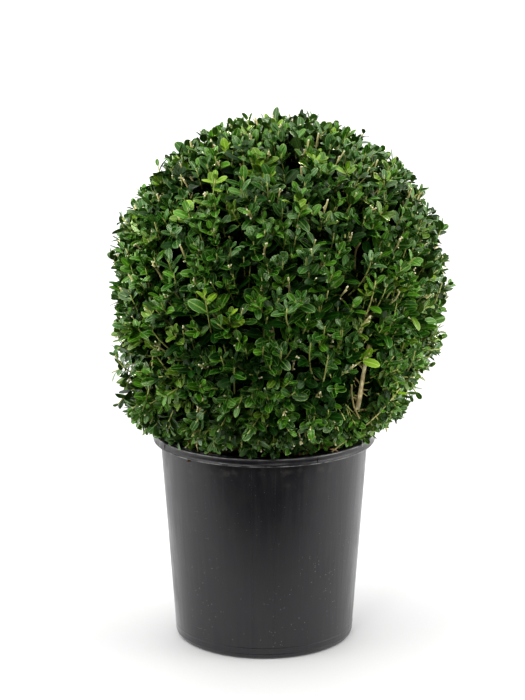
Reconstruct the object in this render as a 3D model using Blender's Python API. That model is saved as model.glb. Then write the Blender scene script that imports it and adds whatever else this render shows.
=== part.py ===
"""Box topiary ball in its nursery pot.

A clipped ball of box on one short stem, in a black plastic container filled with potting soil.
Metres, +Z up. The origin is the centre of the pot's flat underside, and -Y is the plant's front.
"""

import math
import random

import bmesh
import bpy
from mathutils import Matrix, Vector

# ---------------------------------------------------------------- driving dimensions

UP = Vector((0, 0, 1))
GAP = 0.0003  # between two pieces that touch
SEED = 23
MERGE_DISTANCE = 1e-6
SHARP_ANGLE = math.radians(40)

# Pot: a tapered wall with a rim that turns outwards and down.
POT_HEIGHT = 0.247
POT_BASE_RADIUS = 0.1048
POT_TOP_RADIUS = 0.1217
POT_WALL = 0.002
POT_BASE_THICKNESS = 0.003
POT_EDGE_RADIUS = 0.004
RIM_RADIUS = 0.1302
RIM_DEPTH = 0.0095
RIM_CHAMFER = 0.001
POT_SEGMENTS = 40
POT_EDGE_STEPS = 3
DRAIN_HOLES = 8
DRAIN_RADIUS = 0.006
DRAIN_SEGMENTS = 12
DRAIN_CIRCLE = 0.080

# Potting soil, a little below the rim and slightly raised round the stem.
SOIL_EDGE = 0.224
SOIL_TOP = 0.228
SOIL_CROWN_RADIUS = 0.060

# Crown: round above its centre, fuller than round below it, and flat where it meets the pot.
CROWN_CENTRE = Vector((0.015, 0, 0.420))
CROWN_RADIUS = 0.200
CROWN_DEPTH = 0.205
LOWER_POWER = 3.0
CORE_RADIUS = 0.171  # the dense core that each mass's twigs and leaves stand out of
CORE_DEPTH = 0.190
CORE_LOWER_POWER = 4.0
CORE_FLOOR = 0.2495
CORE_HEM_SHARE = 0.94
SWAY = 0.10  # the bottom of the crown is this much fuller on the left and slimmer on the right
SWAY_TOP = 0.36
SWAY_DROP = 0.10
HOLLOW_RADIUS = 0.078  # the open middle of the crown, where the boughs run
HOLLOW_TOP = 0.500

# Foliage masses: one on top and six round the sides, each in a space of its own.
TOP_ANGLE = math.radians(40)
SIDE_NAMES = ("front_right", "right", "back_right", "back_left", "left", "front_left")
FIRST_SIDE_TURN = math.radians(-50)
SIDE_ANGLE = 2 * math.pi / len(SIDE_NAMES)
TOP_ARC_STEPS = 7
TOP_SEGMENTS = 24
SIDE_ARC_STEPS = 9
SIDE_TURN_STEPS = 6
CORE_GAP = 0.0006
SPACE_GAP = 0.0004
BULGE_GAP = 0.0015  # a straight leaf beside a round boundary needs this much more
RIM_CLEARANCE = 0.0015

# Stem and boughs.
STEM_FOOT = Vector((0.004, 0, SOIL_TOP + GAP))
STEM_TIP = Vector((0.013, 0, 0.300))
STEM_RADIUS = 0.0120
STEM_TIP_RADIUS = 0.0095
FLARE_RADIUS = 0.019
FLARE_MIDDLE_RADIUS = 0.0145
FLARE_HEIGHT = 0.016
STEM_SIDES = 12
LIMB_SIDES = 6
BOUGH_RADIUS = 0.0052
BOUGH_TIP_RADIUS = 0.0034
BOUGH_REACH = 0.066  # from the crown's axis to a side bough's tip
BOUGH_STEPS = 8
FORK_HEIGHTS = (0.262, 0.284)
BOUGH_TIP_HEIGHTS = (0.372, 0.404)
LEADER_TIP_HEIGHT = 0.488
LEADER_RADIUS = 0.0080
LEADER_TIP_RADIUS = 0.0046
# The front right bough runs low over the soil, out past the rim and up the outside of the ball.
OUTER_BOUGH = (
    Vector((0.006, 0, 0.243)),
    Vector((0.120, -0.090, 0.222)),
    Vector((0.100, -0.100, 0.300)),
    Vector((0.115, -0.128, 0.372)),
)
OUTER_BOUGH_STEPS = 14
WINDOW_START = 0.0624  # from the crown's axis: the foliage is open in front of the outer bough from here
WINDOW_WIDTH = 0.022
WINDOW_BACK = 0.009
WINDOW_FRONT = 0.100
WINDOW_SLICE = 0.012
WINDOW_OVERRUN = 0.004
MASS_STEM_LENGTH = 0.042
MASS_STEM_SIDES = 6

# Twigs and leaves: every leaf stands for a small spray.
TWIGS = 94
FRINGE_TWIGS = 18  # more twigs in a ring, just above the pot's rim
LOWEST_TWIG_ANGLE = math.radians(139)
TWIG_RADIUS = 0.0017
TWIG_TIP_RADIUS = 0.0010
TWIG_SIDES = 3
TWIG_ROOT_DEPTH = 0.012
TIP_INSET = 0.015  # a twig ends this far inside the clipped surface
LEAF_LENGTH = 0.041
LEAF_WIDTH_SHARE = 0.70
LEAF_THICKNESS = 0.0014
LEAF_WIDEST = 0.48
LEAF_SINK = 0.0006
LEAF_TILTS = (math.radians(80), math.radians(76))  # from straight out of the ball, by pair
LEAF_SIZES = (1.0, 0.85, 0.70, 0.58)  # the sizes tried, largest first, before a leaf is skipped
LEAF_VARIETY = 0.08
PAIR_REFERENCE = Vector((0.3, 0.5, 0.8))
LEAF_NODES = (0.35, 0.92)  # where pairs sit on a twig's free length
SHORTEST_TIP_LEAF = 0.012
TIP_LEAF_MARGIN = 0.003
TIP_LEAF_ROLL = 3.0  # how far a twig's scatter turns the leaf at its tip
RUN_STEP = 0.0005
TWIG_LIFT = 0.30  # twigs lean upwards, except low on the ball, where they hang over the rim
TWIG_HANG = -0.35
HANG_ANGLE = math.radians(110)
FORK_PULL = 0.30  # how much a twig carries on the way from its mass's fork
SCATTER = 0.18

# Materials: a base colour and a roughness.
BLACK_PLASTIC = (0.020, 0.020, 0.022), 0.42
SOIL_BROWN = (0.050, 0.033, 0.022), 0.95
BARK_TAN = (0.330, 0.235, 0.130), 0.80
BOX_GREEN = (0.040, 0.130, 0.022), 0.45


# ---------------------------------------------------------------- helpers

def clear_scene():
    for old in list(bpy.data.objects):
        bpy.data.objects.remove(old, do_unlink=True)


def make_material(name, finish):
    colour, roughness = finish
    material = bpy.data.materials.new(name)
    material.use_nodes = True
    shader = material.node_tree.nodes["Principled BSDF"]
    shader.inputs["Base Color"].default_value = (*colour, 1)
    shader.inputs["Roughness"].default_value = roughness
    shader.inputs["Metallic"].default_value = 0
    return material


def add_object(name, bm, material, collection=None):
    """Turn a bmesh into a named object with its faces pointing out."""
    bmesh.ops.recalc_face_normals(bm, faces=bm.faces)
    mesh = bpy.data.meshes.new(name)
    bm.to_mesh(mesh)
    bm.free()
    made = bpy.data.objects.new(name, mesh)
    (collection or bpy.context.scene.collection).objects.link(made)
    if material:
        mesh.materials.append(material)
    return made


def shade_round(made):
    made.data.shade_smooth()
    made.data.set_sharp_from_angle(angle=SHARP_ANGLE)


def hide_cutter(cutter):
    cutter.hide_render = True
    cutter.display_type = "WIRE"


def cut(target, cutter):
    step = target.modifiers.new("cut_" + cutter.name, "BOOLEAN")
    step.operation = "DIFFERENCE"
    step.solver = "EXACT"
    step.object = cutter


def lathe(outline, segments, centre=Vector((0, 0, 0))):
    """Spin an outline of (radius, height) points all the way round the vertical through centre."""
    bm = bmesh.new()
    points = [bm.verts.new((centre.x + radius, centre.y, height)) for radius, height in outline]
    edges = [bm.edges.new(pair) for pair in zip(points, points[1:])]
    bmesh.ops.spin(
        bm, geom=points + edges, cent=centre, axis=UP, dvec=(0, 0, 0),
        angle=2 * math.pi, steps=segments, use_merge=True,
    )
    bmesh.ops.remove_doubles(bm, verts=bm.verts, dist=MERGE_DISTANCE)
    return bm


def loft(rings):
    """Join rings of the same number of points into one closed tube."""
    bm = bmesh.new()
    rows = [[bm.verts.new(point) for point in ring] for ring in rings]
    sides = len(rows[0])
    for row, after in zip(rows, rows[1:]):
        for i in range(sides):
            j = (i + 1) % sides
            bm.faces.new((row[i], row[j], after[j], after[i]))
    bm.faces.new(rows[0])
    bm.faces.new(rows[-1])
    return bm


def limb(path, start_radius, end_radius, sides=LIMB_SIDES):
    """A tapering tube along a path."""
    rings = []
    last = len(path) - 1
    for i, point in enumerate(path):
        along = (path[min(i + 1, last)] - path[max(i - 1, 0)]).normalized()
        turn = along.to_track_quat("Z", "Y")
        radius = start_radius + (end_radius - start_radius) * i / last
        ring = []
        for k in range(sides):
            angle = 2 * math.pi * k / sides
            ring.append(point + turn @ Vector((radius * math.cos(angle), radius * math.sin(angle), 0)))
        rings.append(ring)
    return loft(rings)


def bezier(points, steps):
    """Points along the cubic curve that four control points give."""
    a, b, c, d = points
    curve = []
    for i in range(steps + 1):
        t = i / steps
        u = 1 - t
        curve.append(u * u * u * a + 3 * u * u * t * b + 3 * u * t * t * c + t * t * t * d)
    return curve


def heading(turn):
    return Vector((math.cos(turn), math.sin(turn), 0))


def from_axis(point):
    """The level direction from the crown's axis out to a point."""
    return Vector((point.x - CROWN_CENTRE.x, point.y - CROWN_CENTRE.y, 0)).normalized()


# ---------------------------------------------------------------- the crown's shape and spaces

def reach(polar, radius, depth, lower_power):
    """Distance from the crown's centre to a round shape, at an angle from straight up.

    Above the centre the shape is a sphere. Below it, a power over 2 fills its lower corner out.
    """
    if math.cos(polar) >= 0:
        return radius
    across = math.sin(polar) / radius
    drop = -math.cos(polar) / depth
    return (across ** lower_power + drop ** lower_power) ** (-1 / lower_power)


def crown_reach(polar):
    return reach(polar, CROWN_RADIUS, CROWN_DEPTH, LOWER_POWER)


def core_reach(polar):
    return reach(polar, CORE_RADIUS, CORE_DEPTH, CORE_LOWER_POWER)


def sway(height, turn):
    """How much wider or slimmer the crown is at a height, in a direction round it."""
    share = min(max((SWAY_TOP - height) / SWAY_DROP, 0), 1)
    return 1 - SWAY * share * math.cos(turn)


def crown_point(far, polar, turn):
    """The point at a distance and angles from the crown's centre, with the sway added."""
    height = CROWN_CENTRE.z + far * math.cos(polar)
    level = far * math.sin(polar) * sway(height, turn)
    return Vector((CROWN_CENTRE.x, CROWN_CENTRE.y, height)) + heading(turn) * level


def depth_inside(point):
    """How far inside the clipped surface a point lies, along its own ray."""
    ray = point - CROWN_CENTRE
    factor = sway(point.z, math.atan2(ray.y, ray.x))
    straight = Vector((ray.x / factor, ray.y / factor, ray.z))
    return crown_reach(straight.angle(UP)) - straight.length


def side_turn(index):
    return FIRST_SIDE_TURN + index * SIDE_ANGLE


def window_frames(path):
    """At each point of the outer bough: the point, and its forward, sideways and open directions."""
    frames = []
    path = path + [path[-1] + (path[-1] - path[-2]).normalized() * WINDOW_OVERRUN]
    last = len(path) - 1
    for i, place in enumerate(path):
        if (place - CROWN_CENTRE).xy.length < WINDOW_START:
            continue
        forward = (path[min(i + 1, last)] - path[max(i - 1, 0)]).normalized()
        aside = UP.cross(from_axis(place)).normalized()
        frames.append((place, forward, aside, aside.cross(forward).normalized()))
    return frames


def in_window(point, frames):
    """Whether a point is in the open strip that shows the outer bough."""
    for place, forward, aside, out in frames:
        offset = point - place
        if abs(offset.dot(aside)) > WINDOW_WIDTH / 2 or abs(offset.dot(forward)) > WINDOW_SLICE:
            continue
        if offset.dot(out) > -WINDOW_BACK:
            return True
    return False


def over_pot(point):
    near = math.hypot(point.x, point.y) < RIM_RADIUS + RIM_CLEARANCE
    return near and point.z < POT_HEIGHT + RIM_CLEARANCE


def in_space(point, index, window):
    """Whether a point lies in the space of one mass: index None is the top one."""
    ray = point - CROWN_CENTRE
    polar = ray.angle(UP)
    if depth_inside(point) < 0 or over_pot(point):
        return False
    if index is None:
        return ray.length * math.sin(TOP_ANGLE - polar) > SPACE_GAP
    if polar < TOP_ANGLE + math.pi / 2:
        if ray.length * math.sin(polar - TOP_ANGLE) < SPACE_GAP + BULGE_GAP:
            return False
    turn = math.atan2(ray.y, ray.x) - side_turn(index)
    turn = abs((turn + math.pi) % (2 * math.pi) - math.pi)
    level = math.hypot(ray.x, ray.y)
    if turn > SIDE_ANGLE / 2 or level * math.sin(SIDE_ANGLE / 2 - turn) < SPACE_GAP:
        return False
    return not in_window(point, window)


# ---------------------------------------------------------------- pot and soil

def build_pot(material):
    inner_base = POT_BASE_RADIUS - POT_WALL
    inner_top = POT_TOP_RADIUS - POT_WALL
    rim_inside = RIM_RADIUS - POT_WALL
    groove_top = POT_HEIGHT - POT_WALL
    edge = []
    for step in range(POT_EDGE_STEPS + 1):
        angle = math.pi / 2 * step / POT_EDGE_STEPS
        level = POT_BASE_RADIUS - POT_EDGE_RADIUS * (1 - math.sin(angle))
        edge.append((level, POT_EDGE_RADIUS * (1 - math.cos(angle))))
    outline = [(0, 0)] + edge + [
        (POT_TOP_RADIUS, POT_HEIGHT - RIM_DEPTH),
        (POT_TOP_RADIUS, groove_top),
        (rim_inside, groove_top),
        (rim_inside, POT_HEIGHT - RIM_DEPTH),
        (RIM_RADIUS, POT_HEIGHT - RIM_DEPTH),
        (RIM_RADIUS, POT_HEIGHT - RIM_CHAMFER),
        (RIM_RADIUS - RIM_CHAMFER, POT_HEIGHT),
        (inner_top, POT_HEIGHT),
        (inner_base, POT_BASE_THICKNESS),
        (0, POT_BASE_THICKNESS),
    ]
    pot = add_object("pot", lathe(outline, POT_SEGMENTS), material)
    drains = bmesh.new()
    for hole in range(DRAIN_HOLES):
        place = heading(2 * math.pi * hole / DRAIN_HOLES) * DRAIN_CIRCLE
        bmesh.ops.create_cone(
            drains, cap_ends=True, segments=DRAIN_SEGMENTS, radius1=DRAIN_RADIUS, radius2=DRAIN_RADIUS,
            depth=4 * POT_BASE_THICKNESS, matrix=Matrix.Translation(place),
        )
    cutter = add_object("drain_cutter", drains, None)
    hide_cutter(cutter)
    cut(pot, cutter)
    shade_round(pot)


def build_soil(material):
    """Potting soil that fills the pot, 0.3 mm clear of its wall and base."""
    def inner_radius(height):
        share = (height - POT_BASE_THICKNESS) / (POT_HEIGHT - POT_BASE_THICKNESS)
        return POT_BASE_RADIUS - POT_WALL + share * (POT_TOP_RADIUS - POT_BASE_RADIUS) - GAP

    bottom = POT_BASE_THICKNESS + GAP
    outline = [
        (0, bottom),
        (inner_radius(bottom), bottom),
        (inner_radius(SOIL_EDGE), SOIL_EDGE),
        (SOIL_CROWN_RADIUS, SOIL_TOP),
        (0, SOIL_TOP),
    ]
    add_object("potting_soil", lathe(outline, POT_SEGMENTS), material)


# ---------------------------------------------------------------- stem and boughs

def stem_point(height):
    share = (height - STEM_FOOT.z) / (STEM_TIP.z - STEM_FOOT.z)
    return STEM_FOOT.lerp(STEM_TIP, share)


def stem_rings(growth):
    """Level rings of the stem, all wider by growth: a flare at the foot, then an even taper."""
    heights = [STEM_FOOT.z, STEM_FOOT.z + FLARE_HEIGHT / 2, STEM_FOOT.z + FLARE_HEIGHT, STEM_TIP.z]
    radii = [FLARE_RADIUS, FLARE_MIDDLE_RADIUS, STEM_RADIUS, STEM_TIP_RADIUS]
    rings = []
    for height, radius in zip(heights, radii):
        middle = stem_point(height)
        ring = []
        for k in range(STEM_SIDES):
            ring.append(middle + heading(2 * math.pi * k / STEM_SIDES) * (radius + growth))
        rings.append(ring)
    return rings


def bough_routes():
    """Each side bough's path, by mass index: the outer one follows its own curve."""
    routes = {}
    for index, _ in enumerate(SIDE_NAMES):
        if index == 0:
            routes[index] = bezier(OUTER_BOUGH, OUTER_BOUGH_STEPS)
            continue
        out = heading(side_turn(index))
        start = stem_point(FORK_HEIGHTS[index % 2])
        tip = Vector((CROWN_CENTRE.x, CROWN_CENTRE.y, BOUGH_TIP_HEIGHTS[index % 2]))
        tip += out * BOUGH_REACH
        rise = tip.z - start.z
        leave = start + out * BOUGH_REACH / 2 + UP * rise / 6
        arrive = tip - out * BOUGH_REACH / 4 - UP * rise / 2
        routes[index] = bezier((start, leave, arrive, tip), BOUGH_STEPS)
    return routes


def build_stem_and_boughs(routes, material):
    """The short stem, the side boughs that fit against it, and the leader on its tip."""
    stem = add_object("stem", loft(stem_rings(0)), material)
    shade_round(stem)
    cutter = add_object("stem_cutter", loft(stem_rings(GAP)), None)
    hide_cutter(cutter)
    for index, path in routes.items():
        tube = limb(path, BOUGH_RADIUS, BOUGH_TIP_RADIUS)
        bough = add_object("bough_" + SIDE_NAMES[index], tube, material)
        cut(bough, cutter)
        shade_round(bough)
    foot = STEM_TIP + UP * GAP
    top = Vector((CROWN_CENTRE.x, CROWN_CENTRE.y, LEADER_TIP_HEIGHT))
    third = UP * (top.z - foot.z) / 3
    path = bezier((foot, foot + third, top - third, top), BOUGH_STEPS)
    leader = add_object("leader", limb(path, LEADER_RADIUS, LEADER_TIP_RADIUS), material)
    shade_round(leader)
    return path


# ---------------------------------------------------------------- foliage

def top_core():
    """A domed cap over the leader, with a flat underside."""
    angle = TOP_ANGLE - CORE_GAP / CROWN_RADIUS
    outline = [(0, HOLLOW_TOP), ((HOLLOW_TOP - CROWN_CENTRE.z) * math.tan(angle), HOLLOW_TOP)]
    for step in range(TOP_ARC_STEPS, -1, -1):
        polar = angle * step / TOP_ARC_STEPS
        far = core_reach(polar)
        outline.append((far * math.sin(polar), CROWN_CENTRE.z + far * math.cos(polar)))
    return lathe(outline, TOP_SEGMENTS, CROWN_CENTRE)


def side_core(index):
    """One side block of the ball's dense shell, open towards the middle of the crown."""
    first = TOP_ANGLE + CORE_GAP / CROWN_RADIUS
    half = SIDE_ANGLE / 2 - CORE_GAP / (2 * HOLLOW_RADIUS)
    axis = CROWN_CENTRE.xy.to_3d()
    rings = []
    for turn_step in range(SIDE_TURN_STEPS + 1):
        turn = side_turn(index) + half * (2 * turn_step / SIDE_TURN_STEPS - 1)
        ring = []
        for step in range(SIDE_ARC_STEPS + 1):
            polar = first + (LOWEST_TWIG_ANGLE - first) * step / SIDE_ARC_STEPS
            ring.append(crown_point(core_reach(polar), polar, turn))
        hem = (ring[-1] - axis).xy.length * CORE_HEM_SHARE
        inside = [
            (hem, CORE_FLOOR),
            (HOLLOW_RADIUS, CORE_FLOOR),
            (HOLLOW_RADIUS, CROWN_CENTRE.z),
            ((HOLLOW_TOP - CROWN_CENTRE.z) * math.tan(first), HOLLOW_TOP),
        ]
        for level, height in inside:
            ring.append(axis + heading(turn) * level + UP * height)
        rings.append(ring)
    return loft(rings)


def window_cutter(window):
    """A wedge along the outer bough that opens the core in front of it."""
    rings = []
    for place, _, aside, out in window:
        back = place - out * WINDOW_BACK
        front = place + out * WINDOW_FRONT
        half = aside * WINDOW_WIDTH / 2
        rings.append([back - half, back + half, front + half, front - half])
    wedge = loft(rings)
    bmesh.ops.triangulate(wedge, faces=wedge.faces)
    cutter = add_object("window_cutter", wedge, None)
    hide_cutter(cutter)
    return cutter


def make_leaf(root, along, face_up, length):
    """A closed leaf with a raised midrib and a flat underside, its pointed root sunk into the twig."""
    side = along.cross(face_up).normalized() * (length * LEAF_WIDTH_SHARE / 2)
    lift = face_up * LEAF_THICKNESS
    middle = root + along * length * LEAF_WIDEST
    start = root - along * LEAF_SINK
    bm = bmesh.new()
    ends = [bm.verts.new(start), bm.verts.new(root + along * length)]
    around = [bm.verts.new(middle + shift) for shift in (side, lift, -side)]
    for i in range(3):
        for end in ends:
            bm.faces.new((end, around[i], around[(i + 1) % 3]))
    return bm


def leaf_samples(root, along, face_up, length):
    """Points along a leaf's spine and at its widest, to test against its mass's space."""
    side = along.cross(face_up).normalized() * (length * LEAF_WIDTH_SHARE / 2)
    middle = root + along * length * LEAF_WIDEST
    spine = [root + along * length * share for share in (0, 0.25, 0.5, 0.75, 1)]
    return spine + [middle + side, middle - side]


def run_out(start, along, margin):
    """Go from start until the clipped surface is only margin away."""
    place = start.copy()
    while depth_inside(place) > margin:
        place += along * RUN_STEP
    return place


def twig_directions():
    """Even directions over the crown, by the golden angle."""
    golden = math.pi * (3 - math.sqrt(5))
    lowest = math.cos(LOWEST_TWIG_ANGLE)
    for i in range(TWIGS):
        polar = math.acos(1 - (i + 0.5) / TWIGS * (1 - lowest))
        yield polar, i * golden
    for i in range(FRINGE_TWIGS):
        yield LOWEST_TWIG_ANGLE, 2 * math.pi * i / FRINGE_TWIGS


def facing(direction, along):
    """The part of a direction that is square to along."""
    return (direction - along * direction.dot(along)).normalized()


def sideways_from(outward):
    """One fixed direction square to outward, from which pairs of leaves are turned."""
    return facing(PAIR_REFERENCE, outward)


def leaf_pair(place, outward, tilt, pair_turn, fits, dice):
    """Two opposite leaves that lie along the ball's surface, each in the largest size that fits."""
    leaves = []
    for half in (0, math.pi):
        out = Matrix.Rotation(pair_turn + half, 3, outward) @ sideways_from(outward)
        along = (outward * math.cos(tilt) + out * math.sin(tilt)).normalized()
        face_up = facing(outward, along)
        for size in LEAF_SIZES:
            length = LEAF_LENGTH * size * dice.uniform(1 - LEAF_VARIETY, 1 + LEAF_VARIETY)
            if all(fits(sample) for sample in leaf_samples(place, along, face_up, length)):
                leaves.append(make_leaf(place, along, face_up, length))
                break
    return leaves


def twig_pieces(fork, polar, turn, fits, dice):
    """One twig that grows from the mass's fork out of the core: bmeshes of the twig and its leaves."""
    outward = heading(turn) * math.sin(polar) + UP * math.cos(polar)
    surface = crown_point(core_reach(polar), polar, turn)
    lift = TWIG_LIFT if polar < HANG_ANGLE else TWIG_HANG
    scatter = Vector([dice.uniform(-SCATTER, SCATTER) for _ in range(3)])
    from_fork = (surface - fork).normalized() * FORK_PULL
    along = (outward + UP * lift + from_fork + scatter).normalized()
    root = surface - along * TWIG_ROOT_DEPTH
    tip = run_out(surface, along, TIP_INSET)
    if not all(fits(place) for place in (root, surface, surface.lerp(tip, 0.5), tip)):
        return []
    pieces = [limb([root, tip], TWIG_RADIUS, TWIG_TIP_RADIUS, TWIG_SIDES)]
    pair_turn = dice.uniform(0, math.pi)
    for share, tilt in zip(LEAF_NODES, LEAF_TILTS):
        pieces += leaf_pair(surface.lerp(tip, share), outward, tilt, pair_turn, fits, dice)
        pair_turn += math.pi / 2
    end = run_out(tip, along, dice.uniform(0, TIP_LEAF_MARGIN))
    length = (end - tip).length
    face_up = facing(outward + scatter * TIP_LEAF_ROLL, along)
    if length > SHORTEST_TIP_LEAF and all(fits(p) for p in leaf_samples(tip, along, face_up, length)):
        pieces.append(make_leaf(tip, along, face_up, length))
    return pieces


def keep_main_shell(mesh):
    """Keep the largest connected shell: this fills sealed hollows and drops scraps."""
    bm = bmesh.new()
    bm.from_mesh(mesh)
    bm.verts.ensure_lookup_table()
    unseen = set(bm.verts)
    shells = []
    while unseen:
        stack = [unseen.pop()]
        shell = set(stack)
        while stack:
            for edge in stack.pop().link_edges:
                for vert in edge.verts:
                    if vert in unseen:
                        unseen.remove(vert)
                        shell.add(vert)
                        stack.append(vert)
        shells.append(shell)
    shells.sort(key=len)
    spare = [vert for shell in shells[:-1] for vert in shell]
    bmesh.ops.delete(bm, geom=spare, context="VERTS")
    bmesh.ops.triangulate(bm, faces=bm.faces)
    bm.to_mesh(mesh)
    bm.free()


def build_mass(name, core, cutter, pieces, material):
    """Fuse a mass's stem, twigs and leaves with its core into one solid."""
    mass = add_object(name, core, material)
    if cutter:
        cut(mass, cutter)
    parts = bpy.data.collections.new(name + "_parts")
    bpy.context.scene.collection.children.link(parts)
    for number, piece in enumerate(pieces):
        add_object(f"{name}_part_{number}", piece, material, parts)
    join = mass.modifiers.new("join", "BOOLEAN")
    join.operation = "UNION"
    join.solver = "MANIFOLD"
    join.operand_type = "COLLECTION"
    join.collection = parts
    bpy.context.view_layer.update()
    evaluated = mass.evaluated_get(bpy.context.evaluated_depsgraph_get())
    joined = bpy.data.meshes.new_from_object(evaluated)
    mass.modifiers.clear()
    mass.data = joined
    for part in list(parts.objects):
        bpy.data.objects.remove(part, do_unlink=True)
    bpy.data.collections.remove(parts)
    keep_main_shell(mass.data)


def mass_stem(index, path, radius):
    """The stem that carries on from a bough's tip into its mass, and the point where it forks."""
    along = (path[-1] - path[-2]).normalized()
    start = path[-1] + along * GAP
    course = along
    if index == 0:
        course = along - from_axis(start) / 2
    elif index is not None:
        course = (along + from_axis(start)).normalized()
    bend = start + along * MASS_STEM_LENGTH / 4
    fork = start + course * MASS_STEM_LENGTH
    return limb([start, bend, fork], radius, radius / 2, MASS_STEM_SIDES), fork


def build_foliage(routes, leader_path, material):
    """Seven masses: the top one on the leader and one on each side bough."""
    window = window_frames(routes[0])
    cutter = window_cutter(window)
    for index in [None, *range(len(SIDE_NAMES))]:
        top = index is None
        path = leader_path if top else routes[index]
        stem, fork = mass_stem(index, path, LEADER_TIP_RADIUS if top else BOUGH_TIP_RADIUS)
        dice = random.Random(SEED if top else SEED + 1 + index)
        pieces = [stem]

        def fits(point, index=index):
            return in_space(point, index, window)

        for polar, turn in twig_directions():
            pieces += twig_pieces(fork, polar, turn, fits, dice)
        name = "foliage_top" if top else "foliage_" + SIDE_NAMES[index]
        core = top_core() if top else side_core(index)
        build_mass(name, core, cutter if index == 0 else None, pieces, material)


def main():
    clear_scene()
    plastic = make_material("black_plastic", BLACK_PLASTIC)
    soil = make_material("potting_soil", SOIL_BROWN)
    bark = make_material("bark", BARK_TAN)
    leaves = make_material("box_leaves", BOX_GREEN)
    build_pot(plastic)
    build_soil(soil)
    routes = bough_routes()
    leader_path = build_stem_and_boughs(routes, bark)
    build_foliage(routes, leader_path, leaves)


main()
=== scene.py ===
# %% [markdown]
# # A clipped box ball in its nursery pot
# A short woody stem forks into a few boughs, which carry hundreds of fine twigs. Each twig ends in a
# shoot with pairs of small, glossy leaves, and shears have cut the shoots back to a ball. The packed
# model gives every size and place, so it is loaded first.

# %% Load the imported model
import random
from math import acos, atan2, cos, hypot, pi, radians, sin, sqrt, tau
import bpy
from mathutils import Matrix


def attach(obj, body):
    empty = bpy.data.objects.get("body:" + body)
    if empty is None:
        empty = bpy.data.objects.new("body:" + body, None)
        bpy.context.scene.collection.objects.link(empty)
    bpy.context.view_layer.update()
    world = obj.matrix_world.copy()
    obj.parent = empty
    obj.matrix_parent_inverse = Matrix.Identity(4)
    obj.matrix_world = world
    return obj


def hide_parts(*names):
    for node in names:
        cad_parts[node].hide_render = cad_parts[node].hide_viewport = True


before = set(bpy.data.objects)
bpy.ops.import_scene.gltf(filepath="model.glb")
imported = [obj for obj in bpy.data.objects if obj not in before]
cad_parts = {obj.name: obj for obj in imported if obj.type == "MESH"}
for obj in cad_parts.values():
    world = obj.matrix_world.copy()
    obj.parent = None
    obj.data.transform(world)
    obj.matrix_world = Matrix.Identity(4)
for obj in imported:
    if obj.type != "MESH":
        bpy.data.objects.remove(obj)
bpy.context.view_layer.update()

from types import SimpleNamespace

import bmesh
import bpy
import numpy as np
from mathutils import Matrix, Vector, noise

ORIGIN = Vector((0, 0, 0))
UP = Vector((0, 0, 1))

# %% [markdown]
# ## Camera
# A long lens looks down on the plant from a little above it. The frame is 525 by 700, so the
# sensor's long side is the picture's height.

# %% Camera
CAMERA_PLACE = Vector((-0.0019, -2.5, 0.923))
CAMERA_PITCH = radians(13.07)
LENS_MM, SENSOR_MM = 113.2, 36


def angles(*degrees):
    return [radians(angle) for angle in degrees]


def add_object(name, data):
    thing = bpy.data.objects.new(name, data)
    bpy.context.scene.collection.objects.link(thing)
    return thing


def place_camera():
    camera = add_object("camera", bpy.data.cameras.new("camera"))
    camera.data.lens = LENS_MM
    camera.data.sensor_width = SENSOR_MM
    camera.location = CAMERA_PLACE
    camera.rotation_euler = (pi / 2 - CAMERA_PITCH, 0, 0)
    bpy.context.scene.camera = camera
    print("camera at", tuple(camera.location), "lens", LENS_MM, "mm")


place_camera()

# %% [markdown]
# ## Small helpers for materials
# A material is a graph of nodes. Each method adds one node with its sockets: a socket is given a
# plain value, or another node's output to link from.

# %% Node helpers
class Graph:
    def __init__(self, tree):
        self.tree = tree

    def give(self, inputs, sockets):
        for name, value in sockets.items():
            if isinstance(value, bpy.types.NodeSocket):
                self.tree.links.new(value, inputs[name])
            else:
                inputs[name].default_value = value

    def put(self, kind, sockets, **settings):
        """Add a node, set its options, fill its sockets, and return its outputs."""
        node = self.tree.nodes.new("ShaderNode" + kind)
        for name, value in settings.items():
            setattr(node, name, value)
        self.give(node.inputs, sockets)
        return node.outputs

    def calc(self, operation, first, second=0.0):
        return self.put("Math", {0: first, 1: second}, operation=operation)[0]

    def times(self, first, second):
        return self.calc("MULTIPLY", first, second)

    def fade(self, value, low, high, to_low=0.0, to_high=1.0):
        """Map a value from low..high to to_low..to_high, smoothly and without running past them."""
        sockets = {"Value": value, "From Min": low, "From Max": high, "To Min": to_low, "To Max": to_high}
        return self.put("MapRange", sockets, interpolation_type="SMOOTHSTEP")["Result"]

    def blend(self, share, first, second):
        """Mix two colours. The node keeps sockets for other kinds too, so a colour's are 6 and 7."""
        return self.put("Mix", {0: share, 6: first, 7: second}, data_type="RGBA")[2]

    def axes(self, vector):
        return self.put("SeparateXYZ", {0: vector})

    def vector(self, operation, first, second=(0, 0, 0)):
        return self.put("VectorMath", {0: first, 1: second}, operation=operation)[0]

    def bump(self, height, distance, strength=1.0):
        return self.put("Bump", {"Height": height, "Strength": strength, "Distance": distance})["Normal"]

    def place(self, stretch=(1, 1, 1)):
        """Object coordinates, squeezed or stretched along an axis."""
        return self.put("Mapping", {"Vector": self.put("TexCoord", {})["Object"], "Scale": stretch})["Vector"]


def rgb(red, green, blue):
    return (red, green, blue, 1)


def new_group(name, inputs, outputs):
    """A group of nodes: its inputs are numbers with their values, or vectors where the value is None."""
    tree = bpy.data.node_groups.new(name, "ShaderNodeTree")
    for label, value in inputs.items():
        kind = "NodeSocketVector" if value is None else "NodeSocketFloat"
        socket = tree.interface.new_socket(label, in_out="INPUT", socket_type=kind)
        if value is not None:
            socket.default_value = value
    for label in outputs:
        tree.interface.new_socket(label, in_out="OUTPUT", socket_type="NodeSocketFloat")
    return Graph(tree), tree.nodes.new("NodeGroupInput").outputs, tree.nodes.new("NodeGroupOutput").inputs


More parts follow.
